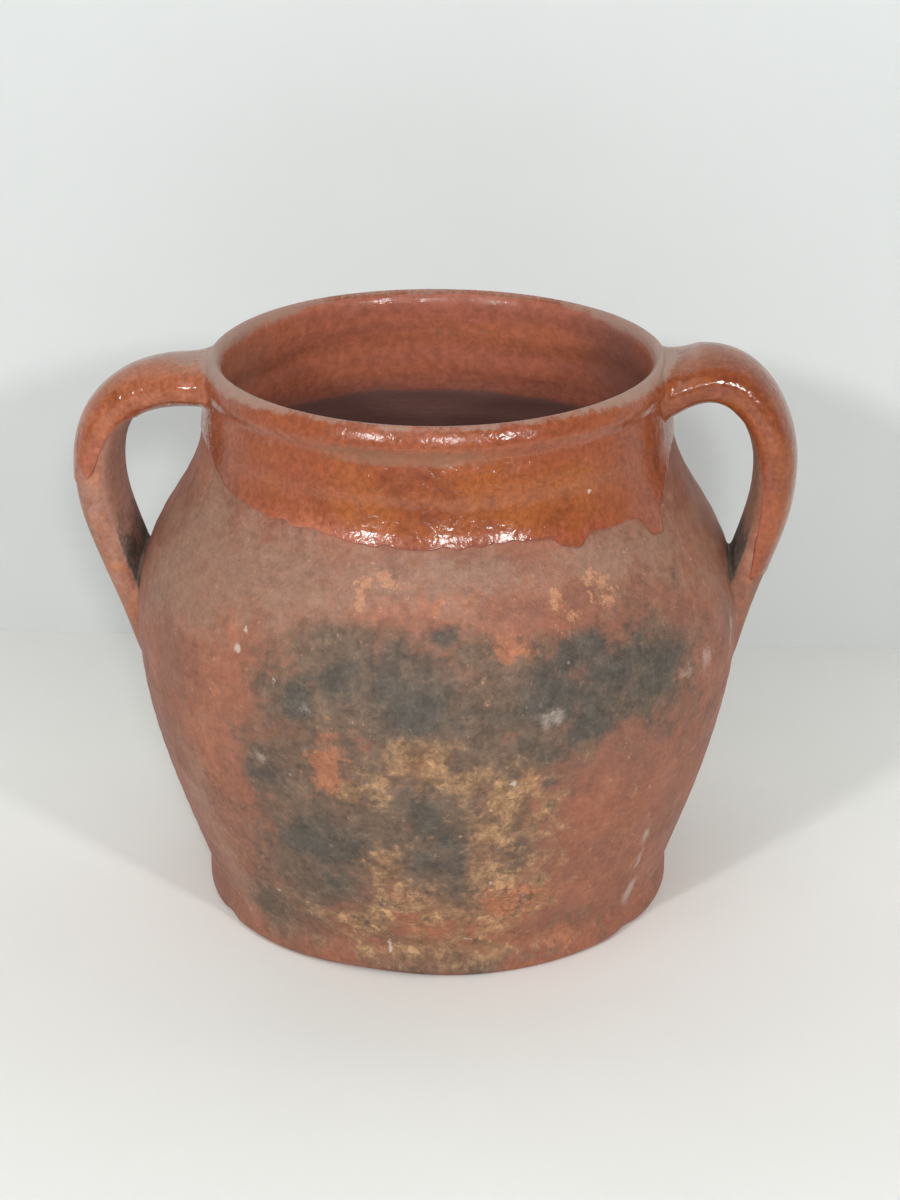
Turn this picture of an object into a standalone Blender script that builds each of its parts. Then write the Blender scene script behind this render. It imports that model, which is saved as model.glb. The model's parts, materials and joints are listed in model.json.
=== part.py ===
"""Two-handled clay pot, glazed at the neck and inside.

Its pieces are the thrown body, two pulled strap handles, the slip that lutes each handle root to the body,
and the glaze coats on the neck, the handles and the inside.

Metres, +Z up. The origin is the centre of the flat base, and the handles lie in the XZ plane.
"""

import math

import bmesh
import bpy
from mathutils import Vector
from mathutils.geometry import interpolate_bezier

# Body radii
BASE_EDGE_ROUND = 0.0018
FOOT_RADIUS = 0.0843
FOOT_NOTCH = 0.0006
BELLY_RADIUS = 0.1071
NECK_RADIUS = 0.0822
THROAT_RADIUS = 0.0796
BEAD_RADIUS = 0.0810

# Body lengths, each measured up from the one before, but for the fade, which is measured down the foot band
FOOT_BAND = 0.0120
FOOT_NOTCH_FADE = 0.0048
BELLY_RISE = 0.0960
SHOULDER_RISE = 0.0380
NECK_RISE = 0.0300
THROAT_RISE = 0.0152
LIP_HEIGHT = 0.0088

# Lip, wall and floor
LIP_WIDTH = 0.0064
LIP_ROUND = 0.0050
BEAD_UNDERCUT = 0.0026
BEAD_UNDERCUT_ANGLE = math.radians(50)
WALL_FOOT = 0.0090
WALL_NECK = 0.0052
FLOOR = 0.0090
FLOOR_CORNER = 0.0140

# Steepness of the wall where it leaves the foot and where it crosses the shoulder, against the straight line
FOOT_STEEPNESS = 1.50
SHOULDER_STEEPNESS = 1.70
NECK_SLOPE = -0.05
THROAT_SLOPE = -0.15

# Strap section: the outside is crowned, the finger side is flatter, and the strap thins from root to tail
STRAP_WIDTH = 0.0320
ROOT_THICKNESS = 0.0155
TAIL_THICKNESS = 0.0115
CROWN_SHARE = 0.53
CROWN_SQUARENESS = 0.90
BACK_SQUARENESS = 0.60
EDGE_SQUARENESS = 0.75
ROOT_SPREAD = 0.0100
ROOT_SPREAD_LENGTH = 0.0140
TAIL_NARROWING = 0.0100
TAIL_NARROWING_LENGTH = 0.0500
ROOT_BURY = 0.0120
TAIL_BURY = 0.0060

# Each handle: where it leaves the rim, how it springs, where it turns and where it runs into the belly
HANDLES = {
    "left": {
        "side": -1,
        "root_drop": 0.0126,
        "spring": (0.0188, 0.0082),
        "reach": 0.0377,
        "knuckle_drop": 0.0388,
        "rise_pull": 0.0220,
        "fall_pull": 0.0204,
        "tail_drop": 0.0300,
        "tail_pull": (0.0100, 0.0380),
        "twist": math.radians(-6.0),
        "glaze_share": 0.44,
    },
    "right": {
        "side": 1,
        "root_drop": 0.0112,
        "spring": (0.0200, 0.0120),
        "reach": 0.0357,
        "knuckle_drop": 0.0332,
        "rise_pull": 0.0246,
        "fall_pull": 0.0200,
        "tail_drop": 0.0250,
        "tail_pull": (0.0130, 0.0340),
        "twist": math.radians(2.0),
        "glaze_share": 0.62,
    },
}

# Coats, luting slip and the seat between neighbouring pieces
SEAT = 0.0003
GLAZE = 0.0005
SLIP = 0.0010
CREST_WORN = math.radians(20)
COLLAR_DEPTH = 0.0374
COLLAR_TILT = 0.0060
COLLAR_WAVE = 0.0010
COLLAR_WAVE_COUNT = 5
DRIP_LENGTH = 0.0050
DRIP_HALF_WIDTH = math.radians(4.5)
DRIP_ANGLES = tuple(math.radians(a) for a in (-59, -26, 71, 148))

# Facets: steps round the pot, round and along a strap, and along each stretch of a profile
TURN_STEPS = 56
COLLAR_STEPS = 72
STRAP_SIDES = 16
STRAP_STEPS = 9
LIP_STEPS = 4
THROAT_STEPS = 2
NECK_STEPS = 4
SHOULDER_STEPS = 4
BELLY_STEPS = 6
COLLAR_EDGE_STEPS = 3
MOUTH_STEPS = 2
INNER_NECK_STEPS = 3
INNER_SHOULDER_STEPS = 2
INNER_BELLY_STEPS = 3
CORNER_STEPS = 2
SHARP_ANGLE = math.radians(40)
WELD = 1e-6

# Heights that follow from the lengths above
BELLY_Z = FOOT_BAND + BELLY_RISE
SHOULDER_Z = BELLY_Z + SHOULDER_RISE
NECK_Z = SHOULDER_Z + NECK_RISE
THROAT_Z = NECK_Z + THROAT_RISE
HEIGHT = THROAT_Z + LIP_HEIGHT
HANDLE_SEAT = SEAT + SLIP + SEAT

CLAY = ("fired_clay", (0.42, 0.16, 0.09), 0.85)
LUTE = ("luting_slip", (0.46, 0.19, 0.11), 0.90)
COLLAR_GLAZE = ("collar_glaze", (0.45, 0.13, 0.04), 0.18)
INNER_GLAZE = ("lining_glaze", (0.33, 0.09, 0.04), 0.30)


def clear_scene():
    for obj in list(bpy.data.objects):
        bpy.data.objects.remove(obj, do_unlink=True)


def collection_named(name):
    made = bpy.data.collections.new(name)
    bpy.context.scene.collection.children.link(made)
    return made


def material_for(finish):
    name, colour, roughness = finish
    found = bpy.data.materials.get(name)
    if found:
        return found
    made = bpy.data.materials.new(name)
    made.use_nodes = True
    shader = made.node_tree.nodes["Principled BSDF"]
    shader.inputs["Base Color"].default_value = (*colour, 1.0)
    shader.inputs["Roughness"].default_value = roughness
    shader.inputs["Metallic"].default_value = 0.0
    return made


# Body profile, as points of radius and height


def stations():
    """Height, radius and slope of the outer wall at the places that shape it."""
    foot = FOOT_RADIUS - FOOT_NOTCH
    foot_slope = FOOT_STEEPNESS * (BELLY_RADIUS - foot) / BELLY_RISE
    shoulder_slope = SHOULDER_STEEPNESS * (NECK_RADIUS - BELLY_RADIUS) / (NECK_Z - BELLY_Z)
    return [
        (FOOT_BAND, foot, foot_slope),
        (BELLY_Z, BELLY_RADIUS, 0.0),
        (SHOULDER_Z, (BELLY_RADIUS + NECK_RADIUS) / 2, shoulder_slope),
        (NECK_Z, NECK_RADIUS, NECK_SLOPE),
        (THROAT_Z, THROAT_RADIUS, THROAT_SLOPE),
    ]


def outer_radius(z):
    """Outer wall at a height: a cubic between the two stations around it, with their slopes."""
    marks = stations()
    z = min(max(z, marks[0][0]), marks[-1][0])
    for (z0, r0, m0), (z1, r1, m1) in zip(marks, marks[1:]):
        if z <= z1:
            break
    span = z1 - z0
    t = (z - z0) / span
    rise = t * t * (3 - 2 * t)
    start = t * (1 - t) ** 2
    end = t * t * (t - 1)
    return r0 + (r1 - r0) * rise + span * (m0 * start + m1 * end)


def inner_radius(z):
    """Inner wall at a height: the outer one less a wall that thins from the floor to the throat."""
    t = (z - FLOOR) / (THROAT_Z - FLOOR)
    return outer_radius(z) - (WALL_FOOT + (WALL_NECK - WALL_FOOT) * t)


def heights_between(low, high, count):
    """Heights from high down to just above low, evenly spaced."""
    return [high + (low - high) * i / count for i in range(count)]


def lip_point(angle):
    """A point on the rounded lip. The angle is 0 on the bead, a quarter turn on the crest."""
    rise = LIP_ROUND if math.sin(angle) >= 0 else BEAD_UNDERCUT
    return Vector((
        BEAD_RADIUS - LIP_WIDTH / 2 + LIP_WIDTH / 2 * math.cos(angle),
        HEIGHT - LIP_ROUND + rise * math.sin(angle),
    ))


def arc(start, stop, count):
    return [start + (stop - start) * i / count for i in range(count + 1)]


def outer_lip(start):
    """The lip's outer side, from an angle near the crest down to the undercut below the bead."""
    return [lip_point(a) for a in arc(start, -BEAD_UNDERCUT_ANGLE, LIP_STEPS)]


def inner_lip(stop):
    """The lip's inner side, from the mouth up to an angle near the crest."""
    return [lip_point(a) for a in arc(math.pi, stop, MOUTH_STEPS)]


def wall_points(low, high, count):
    return [Vector((outer_radius(z), z)) for z in heights_between(low, high, count)]


def throat_points():
    return wall_points(NECK_Z, THROAT_Z, THROAT_STEPS)


def neck_points():
    return wall_points(SHOULDER_Z, NECK_Z, NECK_STEPS)


def belly_points():
    """The outer wall from the shoulder down to the top of the foot band."""
    return wall_points(BELLY_Z, SHOULDER_Z, SHOULDER_STEPS) + wall_points(FOOT_BAND, BELLY_Z, BELLY_STEPS)


def foot_points():
    """The foot band, its notch above and the rounded edge on the base."""
    edge = BASE_EDGE_ROUND
    middle = math.sqrt(0.5)
    return [
        Vector((FOOT_RADIUS - FOOT_NOTCH, FOOT_BAND)),
        Vector((FOOT_RADIUS, FOOT_BAND - FOOT_NOTCH_FADE)),
        Vector((FOOT_RADIUS, edge)),
        Vector((FOOT_RADIUS - edge * (1 - middle), edge * (1 - middle))),
        Vector((FOOT_RADIUS - edge, 0.0)),
    ]


def outer_side():
    return outer_lip(math.pi / 2) + throat_points() + neck_points() + belly_points() + foot_points()


def inner_side(crest_angle):
    """From the middle of the floor out round its corner and up the inner wall to the lip."""
    corner_z = FLOOR + FLOOR_CORNER
    corner_r = inner_radius(corner_z) - FLOOR_CORNER
    corner = [
        Vector((
            corner_r + FLOOR_CORNER * math.sin(a),
            corner_z - FLOOR_CORNER * math.cos(a),
        ))
        for a in arc(0.0, math.pi / 2, CORNER_STEPS)
    ]
    heights = (
        heights_between(NECK_Z, THROAT_Z, 1)
        + heights_between(SHOULDER_Z, NECK_Z, INNER_NECK_STEPS)
        + heights_between(BELLY_Z, SHOULDER_Z, INNER_SHOULDER_STEPS)
        + heights_between(corner_z, BELLY_Z, INNER_BELLY_STEPS)
    )
    wall = [Vector((inner_radius(z), z)) for z in reversed(heights)]
    return [Vector((0.0, FLOOR))] + corner + wall + inner_lip(crest_angle)


def offset(points, distance):
    """The profile moved to its left-hand side, which is out of the clay, by an even distance."""
    moved = []
    last = len(points) - 1
    for i, point in enumerate(points):
        before = points[i] - points[i - 1] if i else points[1] - points[0]
        after = points[i + 1] - points[i] if i < last else before
        sides = [Vector((-d.y, d.x)).normalized() for d in (before, after)]
        out = (sides[0] + sides[1]).normalized()
        moved.append(point + out * distance / max(0.5, out.dot(sides[0])))
    return moved


# Objects


def mesh_object(name, bm, collection, finish):
    mesh = bpy.data.meshes.new(name)
    bm.to_mesh(mesh)
    bm.free()
    mesh.shade_smooth()
    mesh.set_sharp_from_angle(angle=SHARP_ANGLE)
    made = bpy.data.objects.new(name, mesh)
    collection.objects.link(made)
    if finish:
        mesh.materials.append(material_for(finish))
    else:
        made.hide_render = True
        made.display_type = "WIRE"
    return made


def turned(name, points, collection, finish=None, closed=False):
    """A profile of radius and height turned about Z."""
    bm = bmesh.new()
    verts = [bm.verts.new((p.x, 0.0, p.y)) for p in points]
    pairs = list(zip(verts, verts[1:]))
    if closed:
        pairs.append((verts[-1], verts[0]))
    for pair in pairs:
        bm.edges.new(pair)
    made = mesh_object(name, bm, collection, finish)
    screw = made.modifiers.new("turn", "SCREW")
    screw.axis = "Z"
    screw.angle = 2 * math.pi
    screw.steps = TURN_STEPS
    screw.render_steps = TURN_STEPS
    screw.use_merge_vertices = True
    screw.merge_threshold = WELD
    screw.use_smooth_shade = True
    return made


def surface(name, columns, rows, place, collection, finish=None, capped=False):
    """A grid laid on a surface. place gives the point for a column and a row, and the columns close up."""
    bm = bmesh.new()
    bmesh.ops.create_grid(bm, x_segments=columns, y_segments=rows, size=0.5)
    for vert in bm.verts:
        column = round((vert.co.x + 0.5) * columns) % columns
        row = round((vert.co.y + 0.5) * rows)
        vert.co = place(column, row)
    bmesh.ops.remove_doubles(bm, verts=bm.verts, dist=WELD)
    if capped:
        bmesh.ops.holes_fill(bm, edges=bm.edges, sides=0)
    bmesh.ops.recalc_face_normals(bm, faces=bm.faces)
    return mesh_object(name, bm, collection, finish)


def thicken(obj, thickness):
    """A coat that stands up from its surface on the side that its faces point to."""
    coat = obj.modifiers.new("coat", "SOLIDIFY")
    coat.thickness = thickness
    coat.offset = 1.0
    coat.use_even_offset = True


def cut(obj, tool, operation="DIFFERENCE"):
    boolean = obj.modifiers.new(tool.name, "BOOLEAN")
    boolean.operation = operation
    boolean.solver = "EXACT"
    boolean.object = tool


# Handles


def strap_path(handle):
    """Centre line of a strap in the XZ plane, from inside the rim to inside the belly."""
    root = Vector((THROAT_RADIUS, 0.0, HEIGHT - handle["root_drop"]))
    spring = Vector((handle["spring"][0], 0.0, handle["spring"][1]))
    knuckle = Vector((
        NECK_RADIUS + handle["reach"],
        0.0,
        HEIGHT - handle["knuckle_drop"],
    ))
    tail_z = BELLY_Z - handle["tail_drop"]
    tail = Vector((outer_radius(tail_z) - TAIL_BURY, 0.0, tail_z))
    pull = Vector((handle["tail_pull"][0], 0.0, handle["tail_pull"][1]))
    up = Vector((0.0, 0.0, handle["rise_pull"]))
    down = Vector((0.0, 0.0, -handle["fall_pull"]))
    arch = interpolate_bezier(root, root + spring, knuckle + up, knuckle, STRAP_STEPS + 1)
    fall = interpolate_bezier(knuckle, knuckle + down, tail + pull, tail, STRAP_STEPS + 1)
    buried = root - spring.normalized() * ROOT_BURY
    return [buried] + list(arch) + list(fall[1:])


def power(value, exponent):
    return math.copysign(abs(value) ** exponent, value)


def strap_section(length, whole, twist, grow):
    """Points round a strap, some length along it, as distances across it and out of it."""
    root = math.exp(-((max(length - ROOT_BURY, 0.0) / ROOT_SPREAD_LENGTH) ** 2))
    tail = max(0.0, 1 - (whole - length) / TAIL_NARROWING_LENGTH)
    half = (STRAP_WIDTH + ROOT_SPREAD * root - TAIL_NARROWING * tail) / 2 + grow
    thickness = ROOT_THICKNESS + (TAIL_THICKNESS - ROOT_THICKNESS) * length / whole
    crown = thickness * CROWN_SHARE + grow
    back = thickness * (1 - CROWN_SHARE) + grow
    points = []
    for j in range(STRAP_SIDES):
        angle = 2 * math.pi * j / STRAP_SIDES
        rise = math.sin(angle)
        side = half * power(math.cos(angle), EDGE_SQUARENESS)
        height = crown * power(rise, CROWN_SQUARENESS) if rise >= 0 else back * power(rise, BACK_SQUARENESS)
        points.append((
            side * math.cos(twist) - height * math.sin(twist),
            side * math.sin(twist) + height * math.cos(twist),
        ))
    return points


def strap_rings(handle, grow):
    """Rings of points round a strap, each square to its centre line."""
    path = strap_path(handle)
    lengths = [0.0]
    for a, b in zip(path, path[1:]):
        lengths.append(lengths[-1] + (b - a).length)
    rings = []
    for i, centre in enumerate(path):
        along = (path[min(i + 1, len(path) - 1)] - path[max(i - 1, 0)]).normalized()
        out = Vector((-along.z, 0.0, along.x))
        ring = []
        for side, height in strap_section(lengths[i], lengths[-1], handle["twist"], grow):
            point = centre + out * height
            ring.append(Vector((point.x * handle["side"], side, point.z)))
        rings.append(ring)
    return rings


def strap(name, handle, collection, finish=None, grow=0.0, last=None):
    """A strap as a closed solid or, up to a given ring, as an open sleeve."""
    rings = strap_rings(handle, grow)
    rows = len(rings) - 1 if last is None else last
    return surface(
        name,
        STRAP_SIDES,
        rows,
        lambda column, row: rings[row][column],
        collection,
        finish,
        capped=last is None,
    )


def build_body(parts):
    profile = inner_side(math.pi / 2)[:-1] + outer_side() + [Vector((0.0, 0.0))]
    return turned("thrown_body", profile, parts, CLAY)


def slip_ring(name, points, tools):
    """The space that slip fills between the body and a handle root, all round the pot."""
    outside = offset(points, SEAT + SLIP)
    inside = offset(points, SEAT)
    return turned(name, outside + inside[::-1], tools, closed=True)


def build_handles(parts, tools):
    """Each handle is a strap cut to the body's curve, on a pad of slip at the rim and one at the belly."""
    skin = offset(outer_side(), HANDLE_SEAT)
    envelope = turned(
        "pot_envelope",
        [Vector((0.0, skin[0].y))] + skin + [Vector((0.0, skin[-1].y))],
        tools,
    )
    rim_ring = slip_ring("rim_slip_ring", outer_lip(math.pi / 2) + throat_points() + neck_points(), tools)
    belly_ring = slip_ring("belly_slip_ring", belly_points(), tools)
    made = []
    for name, handle in HANDLES.items():
        arm = strap(f"{name}_handle", handle, parts, CLAY)
        cut(arm, envelope)
        rim_slip = strap(f"{name}_rim_slip", handle, parts, LUTE)
        cut(rim_slip, rim_ring, "INTERSECT")
        belly_slip = strap(f"{name}_belly_slip", handle, parts, LUTE)
        cut(belly_slip, belly_ring, "INTERSECT")
        rings = len(strap_path(handle)) - 1
        sleeve = strap(
            f"{name}_handle_glaze",
            handle,
            parts,
            COLLAR_GLAZE,
            grow=SEAT,
            last=round(rings * handle["glaze_share"]),
        )
        thicken(sleeve, GLAZE)
        cut(sleeve, envelope)
        made += [arm, rim_slip, belly_slip, sleeve]
    return made


def collar_edge(angle):
    """Height of the glaze's lower edge: tilted, higher at the left, with a wave and a few drips below it."""
    edge = HEIGHT - COLLAR_DEPTH - COLLAR_TILT * math.cos(angle)
    edge += COLLAR_WAVE * math.sin(COLLAR_WAVE_COUNT * angle)
    for drip in DRIP_ANGLES:
        away = math.remainder(angle - drip, 2 * math.pi) / DRIP_HALF_WIDTH
        edge -= DRIP_LENGTH * math.exp(-away * away)
    return edge


def build_collar(parts, tools):
    """The outside glaze from the worn crest down over the neck, cut round the handle roots."""
    top = outer_lip(math.pi / 2 - CREST_WORN) + throat_points()
    columns = []
    for column in range(COLLAR_STEPS):
        angle = 2 * math.pi * column / COLLAR_STEPS
        edge = collar_edge(angle)
        line = top + wall_points(edge, NECK_Z, COLLAR_EDGE_STEPS) + [Vector((outer_radius(edge), edge))]
        columns.append([
            Vector((p.x * math.cos(angle), p.x * math.sin(angle), p.y)) for p in offset(line, SEAT)
        ])
    collar = surface(
        "neck_glaze",
        COLLAR_STEPS,
        len(columns[0]) - 1,
        lambda column, row: columns[column][row],
        parts,
        COLLAR_GLAZE,
    )
    thicken(collar, GLAZE)
    for name, handle in HANDLES.items():
        tool = strap(f"{name}_root_clearance", handle, tools, grow=SEAT)
        cut(collar, tool)
    return collar


def build_lining(parts):
    """The inside glaze, from the middle of the floor up to the worn crest."""
    lining = turned("lining_glaze", offset(inner_side(math.pi / 2 + CREST_WORN), SEAT), parts, INNER_GLAZE)
    thicken(lining, GLAZE)
    return lining


def main():
    clear_scene()
    parts = collection_named("two_handled_clay_pot")
    tools = collection_named("cutters")
    pot = bpy.data.objects.new("pot_origin", None)
    parts.objects.link(pot)
    pieces = [build_body(parts), build_collar(parts, tools), build_lining(parts)]
    pieces += build_handles(parts, tools)
    for piece in pieces:
        piece.parent = pot


main()
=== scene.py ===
"""Looks of a two-handled clay pot: thrown body, luted strap handles, and glaze on neck, handles and inside.

Laid out as an add-on with one operator for each piece or pair of pieces, and run as a script.
Metres, +Z up. The origin is the centre of the base, +X is towards the right handle, -Y is the front.
"""

import json
import math

import bpy
import numpy as np
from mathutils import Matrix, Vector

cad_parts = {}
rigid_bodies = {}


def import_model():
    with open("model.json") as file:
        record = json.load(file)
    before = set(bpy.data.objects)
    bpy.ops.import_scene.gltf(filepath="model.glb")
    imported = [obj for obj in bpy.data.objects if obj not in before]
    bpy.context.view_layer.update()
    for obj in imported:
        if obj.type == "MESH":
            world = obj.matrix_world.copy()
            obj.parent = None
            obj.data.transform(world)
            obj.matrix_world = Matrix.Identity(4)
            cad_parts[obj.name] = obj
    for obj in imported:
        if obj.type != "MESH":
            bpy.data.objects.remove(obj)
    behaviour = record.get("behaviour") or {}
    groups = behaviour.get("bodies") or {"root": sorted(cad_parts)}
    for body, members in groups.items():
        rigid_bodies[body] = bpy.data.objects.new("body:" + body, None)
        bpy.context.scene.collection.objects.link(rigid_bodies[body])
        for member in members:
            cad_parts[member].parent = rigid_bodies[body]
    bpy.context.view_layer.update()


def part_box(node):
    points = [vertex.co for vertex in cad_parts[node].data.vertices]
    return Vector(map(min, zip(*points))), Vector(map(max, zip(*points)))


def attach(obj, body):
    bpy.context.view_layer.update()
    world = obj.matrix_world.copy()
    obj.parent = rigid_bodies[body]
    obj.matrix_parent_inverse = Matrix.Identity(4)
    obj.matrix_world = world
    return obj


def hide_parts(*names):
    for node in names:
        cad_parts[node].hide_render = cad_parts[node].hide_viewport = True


bl_info = {
    "name": "Two-handled clay pot",
    "version": (1, 0, 0),
    "blender": (4, 5, 0),
    "location": "View3D > Sidebar > Clay pot",
    "description": "Dresses the solids of a clay pot with thrown clay, luted straps, smoke marks and glaze",
    "category": "Object",
}

for leftover in list(bpy.data.objects):
    bpy.data.objects.remove(leftover, do_unlink=True)
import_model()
BODY_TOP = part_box("thrown_body")[1]
MM = 0.001

# Body profile of the solids, as radii
BELLY_RADIUS = BODY_TOP.x
FOOT_RADIUS = 0.0843
FOOT_NOTCH = 0.0006
NECK_RADIUS = 0.0822
THROAT_RADIUS = 0.0796
BEAD_RADIUS = 0.0810
POLE_RADIUS = 0.0040

# Body profile of the solids, as heights
HEIGHT = BODY_TOP.z
BASE_EDGE_ROUND = 0.0030
FOOT_BAND = 0.0120
FOOT_NOTCH_FADE = 0.0048
BELLY_Z = 0.1080
SHOULDER_Z = 0.1460
NECK_Z = 0.1760
THROAT_Z = 0.1912

# Slopes of the wall at the foot, shoulder, neck and throat, as radius over height
FOOT_SLOPE = 1.5 * (BELLY_RADIUS - FOOT_RADIUS + FOOT_NOTCH) / (BELLY_Z - FOOT_BAND)
SHOULDER_SLOPE = 1.7 * (NECK_RADIUS - BELLY_RADIUS) / (NECK_Z - BELLY_Z)
NECK_SLOPE = -0.05
THROAT_SLOPE = -0.15

# Lip, wall and floor
LIP_WIDTH = 0.0064
LIP_ROUND = 0.0066
LIP_SLANT = 1.5
BEAD_FADE = 0.0047
BEAD_GROOVE = 0.00010
BEAD_GROOVE_SHARE = 0.4
LIP_Z = HEIGHT - LIP_ROUND
LIP_RADIUS = BEAD_RADIUS - LIP_WIDTH / 2
WALL_FOOT = 0.0090
WALL_NECK = 0.0052
FLOOR = 0.0090
FLOOR_CORNER = 0.0140
MOUTH_EASE = 0.0120

# Strap section and its ends
STRAP_WIDTH = 0.0320
CROWN_SHARE = 0.53
CROWN_SQUARENESS = 0.90
BACK_SQUARENESS = 0.60
EDGE_SQUARENESS = 0.75
ROOT_SPREAD = 0.0085
ROOT_SPREAD_LENGTH = 0.0175
TAIL_NARROWING = 0.0100
TAIL_NARROWING_LENGTH = 0.0500
ROOT_BURY = 0.0120
TAIL_BURY = 0.0060
TAIL_RUN = 0.0160
TAIL_SINK = 0.0200
UNEVEN_WIDTH = 0.016
UNEVEN_THICKNESS = 0.014

# How a root lands on the wall: share of its fillet, sink, a deeper skirt, and room kept under the crest
LAND_SHARE = 0.8
LAND_SINK = 0.0001
SKIRT_REACH = 0.0010
SKIRT_SINK = 0.0015
CREST_ROOM = 0.0007

# Per handle, pale lightens the left strap's clay and glaze as painted light, and the right strap's larger
# deepening darkens its glaze as painted shade
HANDLES = {
    "left": dict(
        side=-1, root_drop=0.0112, spring=(0.0233, 0.0018), reach=0.0374, knuckle_drop=0.0427,
        rise_pull=0.0252, fall_pull=0.0214, tail_drop=0.0327, tail_pull=(0.0118, 0.0520),
        twist=math.radians(-5.0), thickness=(0.0172, 0.0127), glaze_outside=0.0600, glaze_inside=0.0300,
        pale=0.46, deepening=0.14, seed=41,
    ),
    "right": dict(
        side=1, root_drop=0.0108, spring=(0.0220, 0.0143), reach=0.0356, knuckle_drop=0.0394,
        rise_pull=0.0236, fall_pull=0.0249, tail_drop=0.0316, tail_pull=(0.0086, 0.0514),
        twist=math.radians(1.4), thickness=(0.0173, 0.0121), glaze_outside=0.0960, glaze_inside=0.0360,
        pale=0.00, deepening=0.30, seed=43,
    ),
}

# Marks left on the wall by fire and use. In this and the tables below, a mark is its azimuth in degrees,
# its height, half width and half height in millimetres, and its strength in percent
WALL_MARKS = {
    "smoke_and_shade": (
        (-81, 117, 56, 19, 97), (-48, 112, 24, 16, 95), (-111, 113, 22, 18, 90), (-104, 130, 22, 9, 85),
        (-81, 129, 16, 7, 75), (-120, 83, 14, 12, 85), (-100, 81, 40, 16, 75), (-74, 93, 38, 12, 95),
        (-112, 57, 34, 16, 95), (-92, 66, 36, 24, 95), (-76, 68, 24, 26, 85), (-86, 40, 34, 19, 85),
        (-113, 37, 28, 14, 85), (-127, 20, 20, 18, 85), (-82, 4, 34, 6, 66), (-38, 138, 30, 12, 40),
        (-30, 88, 30, 36, 44), (-52, 12, 30, 12, 56), (-98, 11, 56, 11, 60), (66, 92, 50, 30, 90),
        (98, 60, 48, 30, 90), (126, 88, 32, 26, 85), (84, 116, 40, 16, 80),
    ),
    "soot": (
        (-86, 136, 8, 4, 95), (-94, 129, 10, 7, 60), (-106, 121, 8, 5, 55), (-112, 110, 6, 10, 90),
        (-90, 111, 12, 12, 100), (-59, 127, 12, 7, 100), (-67, 119, 6, 6, 95), (-66, 112, 10, 8, 90),
        (-42, 115, 11, 11, 95), (-54, 116, 24, 13, 80), (-99, 118, 20, 10, 54), (-59, 101, 10, 6, 95),
        (-71, 99, 5, 5, 70), (-65, 93, 9, 6, 55), (-66, 82, 3, 3, 90), (-78, 109, 12, 8, 45),
        (-120, 80, 9, 6, 65), (-111, 57, 21, 10, 90), (-108, 38, 10, 8, 65), (-89, 71, 11, 11, 80),
        (-88, 51, 9, 7, 65), (-83, 55, 4, 10, 50), (-83, 40, 5, 9, 65), (-130, 13, 9, 10, 30),
        (38, 104, 20, 14, 75), (61, 71, 17, 15, 85), (84, 118, 24, 11, 70), (97, 52, 20, 12, 65),
        (122, 92, 16, 15, 80), (143, 60, 14, 10, 55),
    ),
    "ochre": (
        (-90, 94, 14, 10, 90), (-80, 85, 10, 7, 60), (-69, 86, 6, 6, 85), (-75, 77, 10, 8, 75),
        (-67, 72, 10, 12, 65), (-100, 81, 12, 8, 50), (-97, 50, 10, 9, 80), (-93, 34, 18, 8, 80),
        (-106, 23, 20, 5, 75), (-77, 56, 10, 20, 80), (-70, 33, 16, 11, 95), (-84, 23, 22, 9, 70),
        (-66, 53, 11, 15, 55), (-98, 11, 50, 8, 50), (-74, 10, 24, 7, 40), (52, 88, 20, 12, 75),
        (78, 46, 26, 16, 70), (108, 74, 18, 14, 80), (135, 36, 22, 12, 50),
    ),
    "ember_and_light": (
        (-127, 129, 4, 5, 85), (-107, 88, 7, 11, 95), (-87, 144, 24, 8, 45), (-74, 131, 9, 5, 80),
        (-60, 136, 6, 6, 40), (-142, 8, 12, 8, 35), (-56, 10, 10, 6, 75), (-132, 106, 16, 16, 40),
        (-134, 82, 12, 12, 35), (-48, 49, 22, 20, 30), (-88, 13, 36, 7, 22), (-70, 32, 18, 9, 92),
        (70, 96, 8, 10, 80), (113, 124, 9, 7, 70), (90, 24, 16, 6, 50),
    ),
    "flash": (
        (-102, 148, 2.6, 6, 85), (-98, 152, 5, 3, 80), (-94, 149, 4, 2, 60), (-54, 146, 5, 5, 75),
        (-51, 142, 3, 4, 65), (-63, 144, 2.4, 7, 62), (-60, 137.5, 3, 4, 50), (113, 146, 4, 5, 80),
    ),
    "dust_and_light": (
        (-148, 142, 40, 24, 85), (-118, 146, 40, 16, 90), (-84, 152, 36, 9, 75), (-45, 152, 30, 10, 70),
        (-20, 140, 40, 24, 50), (-142, 50, 14, 30, 60), (-132, 18, 30, 20, 45), (40, 146, 60, 16, 70),
        (110, 144, 60, 18, 75),
    ),
    "bloom_and_sheen": (
        (-124, 131, 1.1, 1.1, 100), (-125.5, 124, 1.3, 2.2, 100), (-117, 117, 0.7, 2, 75),
        (-105, 135, 0.7, 1.7, 65), (-96, 132, 0.7, 2, 60), (-102, 116, 1.6, 2.2, 55),
        (-73, 84, 1.1, 1.3, 100), (-98, 13, 0.9, 5.6, 80), (-80, 16, 2.6, 1.4, 65), (-76, 42, 0.8, 3, 90),
        (-125, 28, 2.6, 1, 55), (64, 92, 1.2, 3.4, 90), (118, 48, 2, 1.6, 80),
    ),
    "haze": (
        (-37.5, 44.5, 2.2, 3.6, 90), (-36.5, 33, 1.4, 7, 70), (-34.5, 17, 3.4, 6, 95), (-28, 108, 4, 6, 60),
        (-35, 108, 5, 2.5, 45), (-14, 110, 2, 8, 65), (-121, 87, 3.6, 2.5, 55), (-66, 107, 5, 3.6, 60),
        (-110, 109, 3, 3, 40), (130, 100, 5, 8, 60),
    ),
}
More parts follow.
